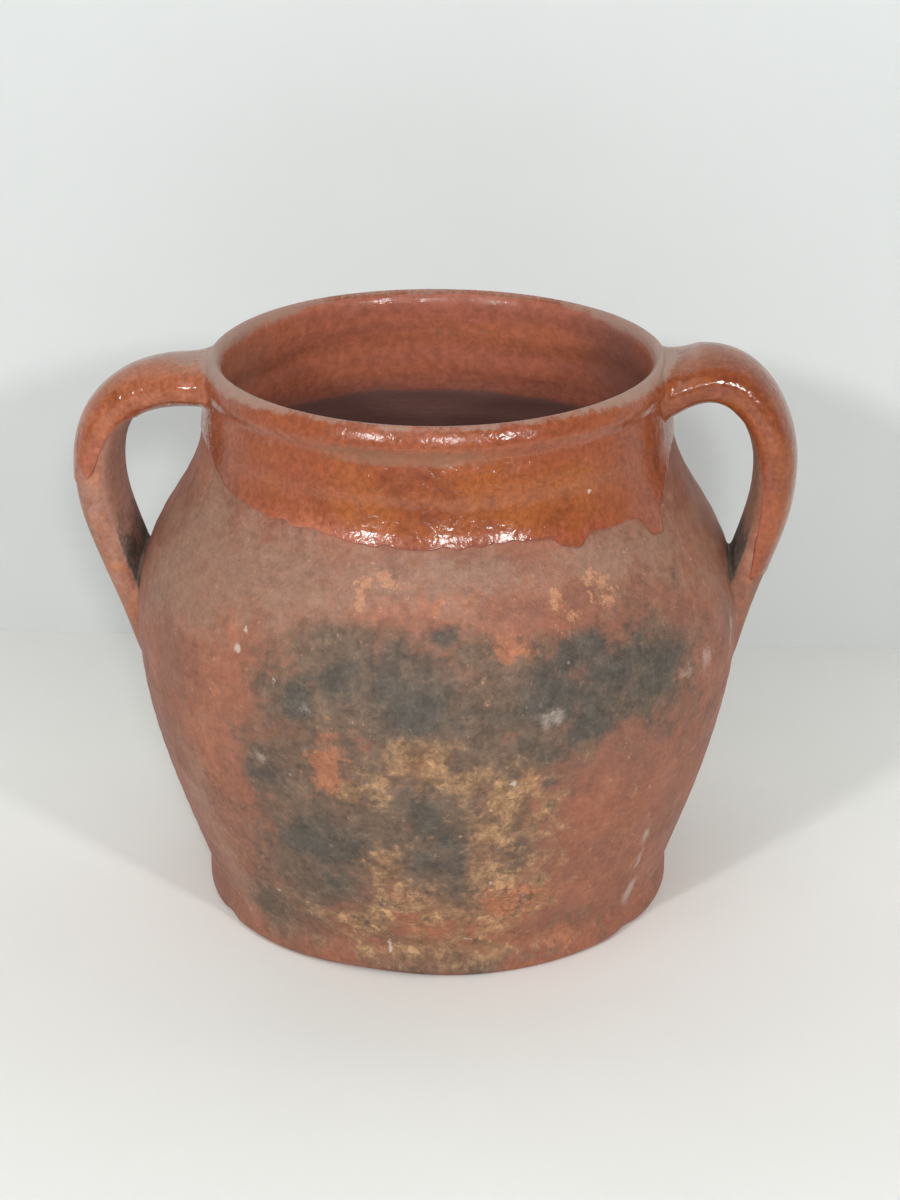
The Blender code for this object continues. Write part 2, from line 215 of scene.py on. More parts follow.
# Marks on the neck glaze
# Pale marks: the first two are chips, the last two painted reflection strips beside the handle roots
COLLAR_CHIPS_AND_SHEEN = (
    (-49.5, 173, 1.2, 1.2, 100), (104, 170, 1.6, 1.6, 90), (-163.5, 179, 2.6, 9, 62),
    (-12.5, 179, 2.2, 9, 52),
)
# Darker patches of the neck glaze, mostly beside the handle roots
COLLAR_DARK_PATCHES = (
    (-149, 174, 11, 14, 95), (-140, 168, 6, 9, 60), (-23, 174, 5, 12, 85), (148, 174, 10, 12, 80),
)
# Pale marks: the first two are painted reflection strips beside the handle roots, the last a rubbed band
COLLAR_RUBS_AND_SHEEN = ((-163, 177, 4, 11, 85), (-12, 176, 4, 12, 85), (-134, 188, 16, 3, 45))
# Marks on the lining: painted shade on its right side, then pale pink painted highlights
PAINTED_SHADE_INSIDE = ((28, 182, 50, 30, 62),)
ROSY_HIGHLIGHTS = ((84, 185, 30, 3, 60), (-70, 178, 30, 6, 50), (168, 184, 44, 20, 80))
# Chips knocked off the foot's edge, and places where the base stands clear of the table near its edge
FOOT_CHIPS = ((-33, 2, 8, 4, 85), (-150, 1, 6, 3, 60), (58, 1, 7, 3, 70))
FOOT_LIFTS = ((-104, 0, 30, 5, 100), (75, 0, 26, 5, 70))
CHIP_DEPTH = 0.0016
LIFT_HEIGHT = 0.0013
LIFT_REACH = 0.0140
LIFT_FADE = 0.0120

# Lower edge of the neck glaze: level at the front, tilt and wander, then gaps by the handles and drips,
# each as azimuth and half width in degrees, and height
COLLAR_EDGE = 0.1620
COLLAR_TILT = 0.0034
COLLAR_WANDER = 0.0006
COLLAR_GAPS = ((180, 33, 0.0120), (6, 27, 0.0150))
COLLAR_DRIPS = (
    (-56, 3.6, 0.0028), (-31.5, 3.4, 0.0075), (-96, 14, 0.0014), (71, 3.6, 0.0055), (148, 3.2, 0.0045),
)

# Coats of glaze: reach under the surface, dip of their ends, way over the crest, thickening and wander
COAT_UNDER = 0.0003
COAT_DIP = 0.00005
COLLAR_OVER = math.radians(50)
COLLAR_THICKENING = math.radians(24)
LINING_THICKENING = 0.0012
SLEEVE_WANDER = 0.0028

# Ends of the glaze: place of the roll and length of the round end, then half width of the dark line
COLLAR_ROLL = (0.0020, 0.0012)
SLEEVE_ROLL = (0.0022, 0.0014)
COLLAR_LINE = 0.0013
SLEEVE_LINE = 0.0012

# Parts of the neck glaze, as azimuth and half width in degrees, the pale part being painted light, and its
# band of grime
GRIMY_PART = (-94, 22)
MIDDLE_PART = (-78, 32)
PALE_LIT_PART = (-112, 22)
GRIME_Z = 0.1899
GRIME_REACH = 0.0031

# Darker inside towards the bottom: height and wander of its crisp upper line, and the lengths over which it
# browns and ends
DARK_LINE_Z = 0.1600
DARK_LINE_WANDER = 0.0006
DARK_LINE_DROP = 0.0012
DARK_LINE_FADE = 0.0030
BROWNING = 0.0140

# Rubbed crest, partly painted sheen by the handles: drop of its band at the front and gain by the handles,
# then strength in the same way
CREST_DROP = (0.0018, 0.0022)
CREST_RUB = (0.62, 0.38)
# Rubbed saddles: place out from the axis and up, reach out, across and up, strength left and right
SADDLE = (0.0865, 0.2000)
SADDLE_REACH = (0.0090, 0.0220, 0.0050)
SADDLE_RUB = (0.85, 0.55)

# Shake of the coordinates that breaks up the blocky scale
SCALE_SHAKE = (0.0066, 0.0066, 0.0066)

# Unevenness of every piece alike: oval plan, and wander and lean of the rim
OVAL = 0.0018
OVAL_AXIS = math.radians(35)
RIM_DIP = 0.0004
RIM_TILT = 0.0008

# Throwing rings: how far they calm down on the neck, and the lengths over which they fade in and out
NECK_CALM = 0.65
RINGS_FROM_FOOT = 0.0200
RINGS_TO_THROAT = 0.0100
RINGS_FROM_MIDDLE = 0.0300
INNER_RINGS_PAST = 0.0040
INNER_RINGS_FADE = 0.0120

# Counts of rows, columns and steps in the grids
TURN_COLUMNS = 400
COLLAR_COLUMNS = 500
LINING_COLUMNS = 276
LIP_ROWS = 22
WALL_ROWS = 176
EDGE_ROWS = 8
BASE_ROWS = 14
HIDDEN_ROWS = 24
LINING_ROWS = 130
COLLAR_LIP_ROWS = 28
COLLAR_ROWS = 72
STRAP_COLUMNS = 72
STRAP_ROWS = 190
FILLET_ROWS = 10
LINE_STEPS = 260
SEARCH_STEPS = 1200

# Camera fitted to the photograph's outline
CAMERA_PLACE = (0.0515, -0.8973, 0.4748)
CAMERA_PITCH = math.radians(22.24)
CAMERA_TURN = math.radians(3.0)
CAMERA_LENS = 81.0
SENSOR = 36.0

# Lamps: name, azimuth from the camera and elevation in degrees, and share of the power
FRONT_LAMPS = (("left_lamp", -31, 24, 1.35), ("middle_lamp", 5, 23, 1.0), ("right_lamp", 33, 23, 1.15))
TOP_LAMP_PLACE = (-0.20, -0.85, 1.35)
TOP_LAMP_SIZE = 1.1
LAMP_AIM = (0.0, 0.0, 0.15)
SKY_TINT = (0.97, 0.99, 1.0, 1.0)


def colour_property(name, description, default):
    return bpy.props.FloatVectorProperty(
        name=name, description=description, default=default, subtype="COLOR", size=3, min=0.0, max=1.0
    )


def number_property(name, description, default, **kind):
    return bpy.props.FloatProperty(name=name, description=description, default=default, min=0.0, **kind)


def length_property(name, description, default):
    return number_property(name, description, default, subtype="DISTANCE", unit="LENGTH")


class ClayPotSizes(bpy.types.PropertyGroup):
    """Sizes of the hand-made surface"""

    ring_pitch: length_property("Ring pitch", "Rise of the throwing spiral in one turn", 0.0072)
    inner_ring_pitch: length_property("Inner ring pitch", "Rise of the grooves inside in one turn", 0.0125)
    ring_height: length_property("Ring height", "Height of the throwing rings outside", 0.00010)
    inner_ring_height: length_property("Inner ring height", "Height of the throwing rings inside", 0.00016)
    swell: length_property("Swell", "Height of the broad unevenness of the wall", 0.00035)
    glaze: length_property("Glaze", "Thickness of the glaze coats", 0.00038)
    glaze_roll: length_property("Glaze roll", "Extra thickness where the glaze stopped running", 0.00010)
    root_fillet: length_property("Root fillet", "Reach of the smoothed clay at the rim", 0.0060)
    tail_fillet: length_property("Tail fillet", "Reach of the smoothed clay at the belly", 0.0045)


class ClayPotColours(bpy.types.PropertyGroup):
    """Colours of the clay, the fire marks and the glazes"""

    clay: colour_property("Clay", "Bare red clay", (0.345, 0.118, 0.063))
    clay_deep: colour_property("Deep clay", "Darker red clay", (0.265, 0.100, 0.059))
    # Dust on the shoulder, also painted light on the straps' finger side
    dust_and_light: colour_property("Dust", "Dusty bloom on the shoulder", (0.312, 0.174, 0.116))
    # Smoke on the body, also painted shade low on the straps' finger side
    smoke_and_shade: colour_property("Smoke", "Brown veil of smoke", (0.148, 0.102, 0.069))
    soot: colour_property("Soot", "Dark smoke clouds", (0.081, 0.071, 0.057))
    ochre: colour_property("Ochre", "Scorched and scaled clay", (0.442, 0.252, 0.124))
    scorch: colour_property("Scorch", "Browner parts of the scorched clay", (0.315, 0.148, 0.069))
    # Orange flashes, also painted light on the left strap
    ember_and_light: colour_property("Ember", "Orange flashes", (0.420, 0.155, 0.074))
    flash: colour_property("Flash", "Light orange flakes", (0.520, 0.245, 0.125))
    # Pale chips and scratches, also painted reflection strips beside the handle roots
    bloom_and_sheen: colour_property("Bloom", "Pale scratches and chips", (0.560, 0.450, 0.380))
    # Pale rubbed colour: real rubbing on the crest and saddles, also painted sheen on the crest by the
    # handles, painted reflection strips beside the handle roots, and painted highlights inside
    worn: colour_property("Worn rim", "Rubbed glaze on the crest", (0.375, 0.245, 0.190))
    honey: colour_property("Honey glaze", "Outside glaze where it is clear", (0.328, 0.091, 0.025))
    deep_glaze: colour_property("Deep glaze", "Outside glaze where it is thick", (0.215, 0.052, 0.020))
    red_glaze: colour_property("Red glaze", "Outside glaze where it is thin", (0.300, 0.076, 0.033))
    glaze_edge: colour_property("Glaze edge", "Purple-red line where the glaze ends", (0.225, 0.060, 0.040))
    # Paler clay and glaze: cleaner clay on the straps, and painted light on the left strap, the finger side
    # and the neck's lower left edge; the glaze also colours bubbles
    pale_and_lit_clay: colour_property("Pale clay", "Cleaner clay on the straps", (0.440, 0.230, 0.172))
    pale_and_lit_glaze: colour_property("Pale glaze", "Outside glaze where it is lightest", (0.470, 0.158, 0.088))
    grime: colour_property("Grime", "Dull film on the glaze under the bead", (0.232, 0.113, 0.060))
    lining: colour_property("Lining", "Inside glaze", (0.455, 0.142, 0.074))
    lining_red: colour_property("Red lining", "Inside glaze in red bands", (0.385, 0.123, 0.077))
    # Darker inside glaze towards the bottom, also painted shade on the right side inside
    lining_dark: colour_property("Dark lining", "Burnt film towards the bottom", (0.172, 0.089, 0.077))


class ClayPotStage(bpy.types.PropertyGroup):
    """Floor, backdrop and light"""

    floor: colour_property("Floor", "Pale floor", (0.955, 0.955, 0.920))
    wall: colour_property("Wall", "Pale backdrop", (0.725, 0.755, 0.748))
    wall_distance: length_property("Wall distance", "Backdrop behind the pot's centre", 0.215)
    stage_reach: length_property("Stage reach", "Half width of the floor", 3.0)
    sky: number_property("Sky", "Strength of the soft light from above", 0.27)
    horizon: number_property("Horizon", "Strength of the soft light from the sides", 0.56)
    front_share: number_property("Front share", "Share of the soft light that comes from the front", 0.50)
    right_share: number_property("Right share", "Share of the soft light that comes from the right", 0.58)
    lamp_power: number_property("Lamp power", "Power of the middle front lamp", 9.0, unit="POWER")
    top_power: number_property("Top power", "Power of the soft light overhead in front", 3.6, unit="POWER")
    lamp_distance: length_property("Lamp distance", "Front lamps from the pot", 2.0)
    lamp_size: length_property("Lamp size", "Width of each front lamp", 0.16)


class ClayPot(bpy.types.PropertyGroup):
    """Everything that a user would change"""

    sizes: bpy.props.PointerProperty(type=ClayPotSizes)
    colours: bpy.props.PointerProperty(type=ClayPotColours)
    stage: bpy.props.PointerProperty(type=ClayPotStage)


# Shapes


def smooth(t):
    """Rises from 0 to 1 with level ends: 3t^2 - 2t^3, held at 0 and 1 outside."""
    t = np.clip(t, 0.0, 1.0)
    return t * t * (3 - 2 * t)


def bell(t, power=2):
    """Falls from 1 on both sides of zero: e to the minus t^power, for even powers."""
    return np.exp(-(t**power))


def signed_power(value, exponent):
    return np.sign(value) * np.abs(value) ** exponent


def unit(vector):
    return vector / np.linalg.norm(vector, axis=-1, keepdims=True)


def turn_angles(columns):
    return 2 * np.pi * np.arange(columns) / columns


def angle_from(theta, degrees):
    """Signed angle from an azimuth, between minus and plus half a turn."""
    return np.angle(np.exp(1j * (theta - math.radians(degrees))))


def fan(theta, azimuth, half_width, power=4):
    """A bell about an azimuth, in degrees as its half width is."""
    return bell(angle_from(theta, azimuth) / math.radians(half_width), power)


def even_rows(low, high, count):
    """Values from low to high in equal steps, as a column that spreads over the grid."""
    return np.linspace(low, high, count)[:, None]


def stacked(*parts):
    """Rows of several parts of a profile one after another, each spread over the columns of the widest."""
    columns = max(part.shape[1] for part in parts)
    return np.concatenate([np.broadcast_to(part, (len(part), columns)) for part in parts])


def wander(theta, seed, waves, fade=0.6):
    """A closed uneven line round the pot: cosines of 1 to n waves, seeded, of about unit size."""
    draw = np.random.default_rng(seed)
    counts = np.arange(1, waves + 1)
    heights = draw.normal(size=waves) / counts**fade
    phases = draw.uniform(0, 2 * np.pi, waves)
    line = (heights * np.cos(counts * np.asarray(theta)[..., None] + phases)).sum(axis=-1)
    return line / math.sqrt((heights**2).sum() / 2) / 1.5


def swells(theta, z, seed, count=14, reach=0.055):
    """Broad unevenness over the wall: seeded cosines that run round and up the pot, of about unit size."""
    draw = np.random.default_rng(seed)
    turns = draw.integers(1, 6, count)
    climbs = draw.normal(size=count) * 2 * np.pi / reach / 2
    phases = draw.uniform(0, 2 * np.pi, count)
    total = np.zeros(np.broadcast(theta, z).shape)
    for turn, climb, phase in zip(turns, climbs, phases):
        total += np.cos(turn * theta + climb * z + phase)
    return total / math.sqrt(count / 2) / 1.5


def marks_on(theta, z, marks):
    """Soft marks on the wall: each is a bell about its centre, and marks that overlap add up like layers."""
    clear = np.ones(np.broadcast(theta, z).shape)
    for azimuth, height, half_width, half_height, percent in marks:
        across = BELLY_RADIUS * angle_from(theta, azimuth) / (half_width * MM)
        along = (z - height * MM) / (half_height * MM)
        clear *= 1 - percent / 100 * bell(across) * bell(along)
    return 1 - clear


def wall_radius(z):
    """Outer wall from foot to throat: a cubic between each two stations of height, radius and slope."""
    heights = np.array([FOOT_BAND, BELLY_Z, SHOULDER_Z, NECK_Z, THROAT_Z])
    shoulder = (BELLY_RADIUS + NECK_RADIUS) / 2
    radii = np.array([FOOT_RADIUS - FOOT_NOTCH, BELLY_RADIUS, shoulder, NECK_RADIUS, THROAT_RADIUS])
    slopes = np.array([FOOT_SLOPE, 0.0, SHOULDER_SLOPE, NECK_SLOPE, THROAT_SLOPE])
    z = np.clip(z, FOOT_BAND, THROAT_Z)
    low = np.clip(np.searchsorted(heights, z) - 1, 0, len(heights) - 2)
    span = heights[low + 1] - heights[low]
    t = (z - heights[low]) / span
    blend = radii[low] + (radii[low + 1] - radii[low]) * smooth(t)
    return blend + span * (slopes[low] * t * (1 - t) ** 2 + slopes[low + 1] * t * t * (t - 1))


def outer_radius(z):
    """The whole outer side: the wall, a foot band under a notch, and a bead that eases into the throat."""
    z = np.asarray(z, float)
    band = FOOT_NOTCH * smooth((FOOT_BAND - z) / FOOT_NOTCH_FADE)
    drop = (LIP_Z - z) / BEAD_FADE
    groove = BEAD_GROOVE * bell((drop - 1) / BEAD_GROOVE_SHARE)
    bead = (BEAD_RADIUS - THROAT_RADIUS) * (1 - smooth(drop)) - groove
    rise = np.clip((z - LIP_Z) / LIP_ROUND, 0.0, 1.0)
    crest = LIP_RADIUS + LIP_WIDTH / 2 * (1 - rise**LIP_SLANT) ** (1 / LIP_SLANT)
    return np.where(z > LIP_Z, crest, wall_radius(z) + band + bead)


def relief(theta, z, sizes):
    """Unevenness of the wall: a spiral of rings that comes and goes on broad swells, calmer on the neck."""
    swell = swells(theta, z, seed=7)
    calm = 1 - NECK_CALM * smooth((z - SHOULDER_Z) / (NECK_Z - SHOULDER_Z))
    spiral = np.sin(2 * np.pi * z / sizes.ring_pitch + theta + 1.2 * swell)
    held = smooth((z - FOOT_BAND) / RINGS_FROM_FOOT) * smooth((THROAT_Z - z) / RINGS_TO_THROAT)
    return held * (calm * sizes.ring_height * spiral * (0.6 + 0.4 * swell) + sizes.swell * swell)


def body_radius(theta, z, sizes):
    """Radius of the finished outer wall at an angle and a height."""
    return outer_radius(z) + relief(theta, z, sizes) - CHIP_DEPTH * marks_on(theta, z, FOOT_CHIPS)


def inner_radius(z):
    """Inner wall: the outer one less a wall that thins from the floor to the throat."""
    t = (z - FLOOR) / (THROAT_Z - FLOOR)
    return wall_radius(z) - (WALL_FOOT + (WALL_NECK - WALL_FOOT) * t)


def settle(points):
    """Makes every piece uneven alike: radii follow 1 + e cos 2(a - a0), and the rim leans and wanders."""
    x, y, z = np.moveaxis(points, -1, 0)
    angle = np.arctan2(y, x)
    stretch = 1 + OVAL * np.cos(2 * (angle - OVAL_AXIS))
    dip = RIM_DIP * wander(angle, seed=11, waves=5) + RIM_TILT * y / BEAD_RADIUS
    dip = dip * smooth((z - BELLY_Z) / (HEIGHT - BELLY_Z))
    return np.stack([x * stretch, y * stretch, z + dip], axis=-1)


def around(radius, theta, z):
    return np.stack([radius * np.cos(theta), radius * np.sin(theta), z], axis=-1)


def lip_rows(start, stop, count):
    """Radius and height round the lip between two angles, a quarter turn being the crest.

    The inner side is an ellipse, and the outer side a superellipse that slants out to the bead.
    """
    angle = even_rows(start, stop, count)
    power = np.where(np.cos(angle) > 0, 2 / LIP_SLANT, 1.0)
    rise = np.clip(np.sin(angle), 0.0, 1.0) ** power
    return LIP_RADIUS + LIP_WIDTH / 2 * signed_power(np.cos(angle), power), LIP_Z + LIP_ROUND * rise


def profile_normals(radius, z):
    """Unit normals of a profile, on the left of its direction, as radius and height."""
    along_r = np.gradient(radius, axis=0)
    along_z = np.gradient(z, axis=0)
    size = np.hypot(along_r, along_z) + 1e-12
    return -along_z / size, along_r / size


def inner_profile(theta, sizes, rows):
    """Radius and height from the middle of the floor, round its corner, up the wall and over the inner lip.

    Floor rings fade in from the middle, wall rings follow the throwing spiral.
    """
    corner_z = FLOOR + FLOOR_CORNER
    corner_r = float(inner_radius(corner_z)) - FLOOR_CORNER
    floor_r = even_rows(POLE_RADIUS, corner_r, rows // 6)
    bend = even_rows(0.0, np.pi / 2, rows // 8)[1:]
    wall_z = even_rows(corner_z, LIP_Z, rows)[1:]
    lip_r, lip_z = lip_rows(np.pi, np.pi / 2, rows // 8)
    mouth = smooth((wall_z - THROAT_Z + MOUTH_EASE) / (LIP_Z - THROAT_Z + MOUTH_EASE))
    wall_r = inner_radius(wall_z) * (1 - mouth) + (LIP_RADIUS - LIP_WIDTH / 2) * mouth
    radius = stacked(floor_r, corner_r + FLOOR_CORNER * np.sin(bend), wall_r, lip_r[1:])
    z = stacked(np.full_like(floor_r, FLOOR), corner_z - FLOOR_CORNER * np.cos(bend), wall_z, lip_z[1:])
    radius, z, turn = np.broadcast_arrays(radius, z, theta)
    out_r, out_z = profile_normals(radius, z)
    run = np.where(z > FLOOR + FLOOR_CORNER / 2, z, radius)
    swell = swells(turn, z, seed=23)
    to_top = (THROAT_Z + INNER_RINGS_PAST - z) / INNER_RINGS_FADE
    held = smooth(radius / RINGS_FROM_MIDDLE) * smooth(to_top)
    rings = sizes.inner_ring_height * np.sin(2 * np.pi * run / sizes.inner_ring_pitch + turn + 1.5 * swell)
    height = held * (rings * (0.55 + 0.45 * swell) + sizes.swell * swell)
    return radius + out_r * height, z + out_z * height


def outer_profile(theta, sizes):
    """Radius and height from the crest down the outer side, round the base edge and in under the base."""
    lip_r, lip_z = lip_rows(np.pi / 2, 0.0, LIP_ROWS)
    wall_z = even_rows(LIP_Z, BASE_EDGE_ROUND, WALL_ROWS)[1:]
    bend = even_rows(0.0, np.pi / 2, EDGE_ROWS)[1:]
    edge_r = FOOT_RADIUS - BASE_EDGE_ROUND * (1 - np.cos(bend))
    edge_z = BASE_EDGE_ROUND * (1 - np.sin(bend))
    base_r = even_rows(FOOT_RADIUS - BASE_EDGE_ROUND, POLE_RADIUS, BASE_ROWS)[1:]
    turn = theta[None]
    chips = CHIP_DEPTH * marks_on(turn, edge_z, FOOT_CHIPS)
    radius = stacked(lip_r, body_radius(turn, wall_z, sizes), edge_r - chips, base_r)
    z = stacked(lip_z, wall_z, edge_z, np.zeros_like(base_r))
    near_edge = smooth((radius - FOOT_RADIUS + LIFT_REACH) / LIFT_FADE)
    return radius, z + LIFT_HEIGHT * marks_on(turn, z, FOOT_LIFTS) * near_edge


def coat(radius, z, thickness):
    """A closed coat over a profile: out along the normals by a thickness, and back under the surface."""
    out_r, out_z = profile_normals(radius, z)
    over_r, over_z = radius + out_r * thickness, z + out_z * thickness
    back_r, back_z = radius - out_r * COAT_UNDER, z - out_z * COAT_UNDER
    return np.concatenate([over_r, back_r[::-1]]), np.concatenate([over_z, back_z[::-1]])


def rolled(thickness, roll, to_end, place, rise):
    """Thickness of glaze near where it stopped running: a roll at a place from the end, and a round end."""
    return (thickness + roll * bell(to_end / place - 1)) * np.sqrt(smooth(to_end / rise))


# Straps


def cubic(t, a, b, c, d):
    return a * (1 - t) ** 3 + 3 * b * t * (1 - t) ** 2 + 3 * c * t * t * (1 - t) + d * t**3


def strap_line(shape):
    """Length, place and heading along a strap's centre line in the XZ plane.

    A straight start inside the rim, two cubics that meet at the knuckle, and a straight end inside the belly.
    """
    t = even_rows(0.0, 1.0, LINE_STEPS)
    root = np.array([THROAT_RADIUS, HEIGHT - shape["root_drop"]])
    knuckle = np.array([NECK_RADIUS + shape["reach"], HEIGHT - shape["knuckle_drop"]])
    tail_z = BELLY_Z - shape["tail_drop"]
    tail = np.array([float(wall_radius(tail_z)) - TAIL_BURY, tail_z])
    spring = np.array(shape["spring"])
    pull = np.array(shape["tail_pull"])
    up = np.array([0.0, shape["rise_pull"]])
    down = np.array([0.0, -shape["fall_pull"]])
    start = root - unit(spring) * ROOT_BURY * (1 - t)
    arch = cubic(t, root, root + spring, knuckle + up, knuckle)
    fall = cubic(t, knuckle, knuckle + down, tail + pull, tail)
    end = tail - unit(pull) * TAIL_RUN * t
    line = np.concatenate([start[:-1], arch, fall[1:], end[1:]])
    steps = np.linalg.norm(np.diff(line, axis=0), axis=1)
    length = np.concatenate([[0.0], np.cumsum(steps)])
    return length, line, unit(np.gradient(line, length, axis=0))


def strap_points(shape, line, run, phi):
    """Points of a strap at a run along it and an angle round it.

    The section is a crowned superellipse, flatter on the finger side. It spreads at the root, narrows to the
    tail, and its crown sinks away where the tail runs into the belly. Seeded waves make it uneven.
    """
    length, place, heading = line
    whole = length[-1] - TAIL_RUN
    run, phi = np.broadcast_arrays(run, phi)
    x, z, head_x, head_z = (np.interp(run, length, way[:, i]) for way in (place, heading) for i in (0, 1))
    root = bell(np.maximum(run - ROOT_BURY, 0.0) / ROOT_SPREAD_LENGTH)
    tail = np.clip(1 - (whole - run) / TAIL_NARROWING_LENGTH, 0.0, 1.3)
    share = np.clip(run / whole, 0.0, 1.0)
    uneven = wander(2 * np.pi * share, shape["seed"], 7)
    rise = np.sin(phi)
    spread = ROOT_SPREAD * root * (0.25 + 0.75 * smooth(rise + 1))
    half = (STRAP_WIDTH + spread - TAIL_NARROWING * tail) / 2 * (1 + UNEVEN_WIDTH * uneven)
    root_thick, tail_thick = shape["thickness"]
    thickness = (root_thick + (tail_thick - root_thick) * share) * (1 - UNEVEN_THICKNESS * uneven)
    sink = 1 - smooth((run - whole + TAIL_SINK) / (TAIL_SINK + TAIL_RUN))
    crown = thickness * CROWN_SHARE * sink * signed_power(np.maximum(rise, 0.0), CROWN_SQUARENESS)
    back = thickness * (1 - CROWN_SHARE) * signed_power(np.minimum(rise, 0.0), BACK_SQUARENESS)
    side = half * signed_power(np.cos(phi), np.where(rise < 0, EDGE_SQUARENESS, 1.0))
    twist = shape["twist"]
    across = side * math.cos(twist) - (crown + back) * math.sin(twist)
    out = side * math.sin(twist) + (crown + back) * math.cos(twist)
    return np.stack([shape["side"] * (x - head_z * out), across, z + head_x * out], axis=-1)


def root_runs(shape, line, phi, sizes):
    """Runs at which each line along the strap comes out of the wall at the rim and goes into it at the belly.

    A point is inside where its distance from the pot's axis is less than the wall's radius there.
    """
    run = np.linspace(0.0, line[0][-1], SEARCH_STEPS)
    x, y, z = np.moveaxis(strap_points(shape, line, run[:, None], phi), -1, 0)
    inside = np.hypot(x, y) < body_radius(np.arctan2(y, x), z, sizes)
    middle = SEARCH_STEPS // 2
    leaves = middle - 1 - np.argmax(inside[:middle][::-1], axis=0)
    enters = middle + np.argmax(inside[middle:], axis=0)
    return run[leaves], run[enters]


def landing(ring, reach, sink, sizes):
    """A root's outline pushed out over the wall by a reach, and set under its surface by a sink.

    The outline is laid flat as arc length and height, moved along its own outward normals, and laid back.
    """
    theta = np.arctan2(ring[:, 1], ring[:, 0])
    middle = math.atan2(0.0, ring[:, 0].mean())
    flat = np.stack([NECK_RADIUS * np.angle(np.exp(1j * (theta - middle))), ring[:, 2]], axis=-1)
    along = np.roll(flat, -1, axis=0) - np.roll(flat, 1, axis=0)
    outward = unit(np.stack([along[:, 1], -along[:, 0]], axis=-1))
    outward *= np.sign((outward * (flat - flat.mean(axis=0))).sum())
    moved = flat + outward * np.broadcast_to(reach, len(ring))[:, None]
    z = np.minimum(moved[:, 1], HEIGHT - CREST_ROOM)
    angle = middle + moved[:, 0] / NECK_RADIUS
    return around(body_radius(angle, z, sizes) - sink, angle, z)


def fillet_rows(corner, reach, far, sizes):
    """A smoothed corner: a quadratic curve from the wall, by the corner, on to the strap, for each column."""
    landed = landing(corner, reach * LAND_SHARE, LAND_SINK, sizes)
    t = even_rows(0.0, 1.0, FILLET_ROWS)[..., None]
    return landed * (1 - t) ** 2 + 2 * corner * t * (1 - t) + far * t * t


def strap_frame(shape, sizes):
    """Angles round a strap, its centre line, the runs where it meets rim and belly, and the root's fillet.

    The fillet is small on the finger side and grows over the sides to a wide saddle on the crown.
    """
    phi = turn_angles(STRAP_COLUMNS)
    line = strap_line(shape)
    leaves, enters = root_runs(shape, line, phi, sizes)
    fillet = sizes.root_fillet * (0.22 + 0.58 * smooth(np.sin(phi) + 1) + 1.0 * smooth(np.sin(phi)))
    return phi, line, leaves, enters, fillet


def strap_grid(shape, sizes):
    """The whole handle: fillet off the rim, strap, and fillet on to the belly, each end set in the wall."""
    phi, line, leaves, enters, fillet = strap_frame(shape, sizes)
    first = leaves + fillet
    last = enters - sizes.tail_fillet
    run = first + (last - first) * even_rows(0.0, 1.0, STRAP_ROWS)
    free = strap_points(shape, line, run, phi)
    top = strap_points(shape, line, leaves, phi)
    low = strap_points(shape, line, enters, phi)
    rows = [
        landing(top, fillet + SKIRT_REACH, SKIRT_SINK, sizes)[None],
        fillet_rows(top, fillet, free[0], sizes),
        free[1:-1],
        fillet_rows(low, sizes.tail_fillet, free[-1], sizes)[::-1],
        landing(low, sizes.tail_fillet + SKIRT_REACH, SKIRT_SINK, sizes)[None],
    ]
    runs = [np.tile(leaves, (FILLET_ROWS + 1, 1)), run[1:-1], np.tile(enters, (FILLET_ROWS + 1, 1))]
    return np.concatenate(rows), np.concatenate(runs), phi


def sleeve_grid(shape, sizes):
    """The handle's glaze: a closed coat on the strap from the rim to an uneven end, higher inside."""
    phi, line, leaves, _, fillet = strap_frame(shape, sizes)
    outside = smooth((np.sin(phi) + 0.75) / 0.9)
    ends = ROOT_BURY + shape["glaze_inside"] + (shape["glaze_outside"] - shape["glaze_inside"]) * outside
    ends = ends + SLEEVE_WANDER * wander(phi, shape["seed"] + 1, 9, fade=0.3)
    first = leaves + fillet
    run = first + (ends - first) * even_rows(0.0, 1.0, STRAP_ROWS // 2)
    free = strap_points(shape, line, run, phi)
    top = strap_points(shape, line, leaves, phi)
    base = np.concatenate([fillet_rows(top, fillet, free[0], sizes), free[1:]])
    to_end = np.concatenate([np.tile(ends - first, (FILLET_ROWS, 1)), (ends - run)[1:]])
    from_start = np.arange(len(base))[:, None] / FILLET_ROWS
    normal = grid_normals(base)
    thick = sizes.glaze * (0.55 + 0.45 * smooth(from_start)) * (1 + 0.25 * wander(phi, shape["seed"] + 2, 6))
    thick = rolled(thick, sizes.glaze_roll * 0.7, to_end, *SLEEVE_ROLL) - COAT_DIP * 1.2
    shell = np.concatenate([base + normal * thick[..., None], (base - normal * COAT_UNDER)[::-1]])
    return shell, np.concatenate([to_end, to_end[::-1]]), outside


def grid_normals(points):
    """Unit normals of a grid whose columns close up, turned away from the middle of each row."""
    across = np.roll(points, -1, axis=1) - np.roll(points, 1, axis=1)
    along = np.gradient(points, axis=0)
    normal = unit(np.cross(across, along))
    outward = points - points.mean(axis=1, keepdims=True)
    return normal * np.sign((normal * outward).sum())


# Meshes


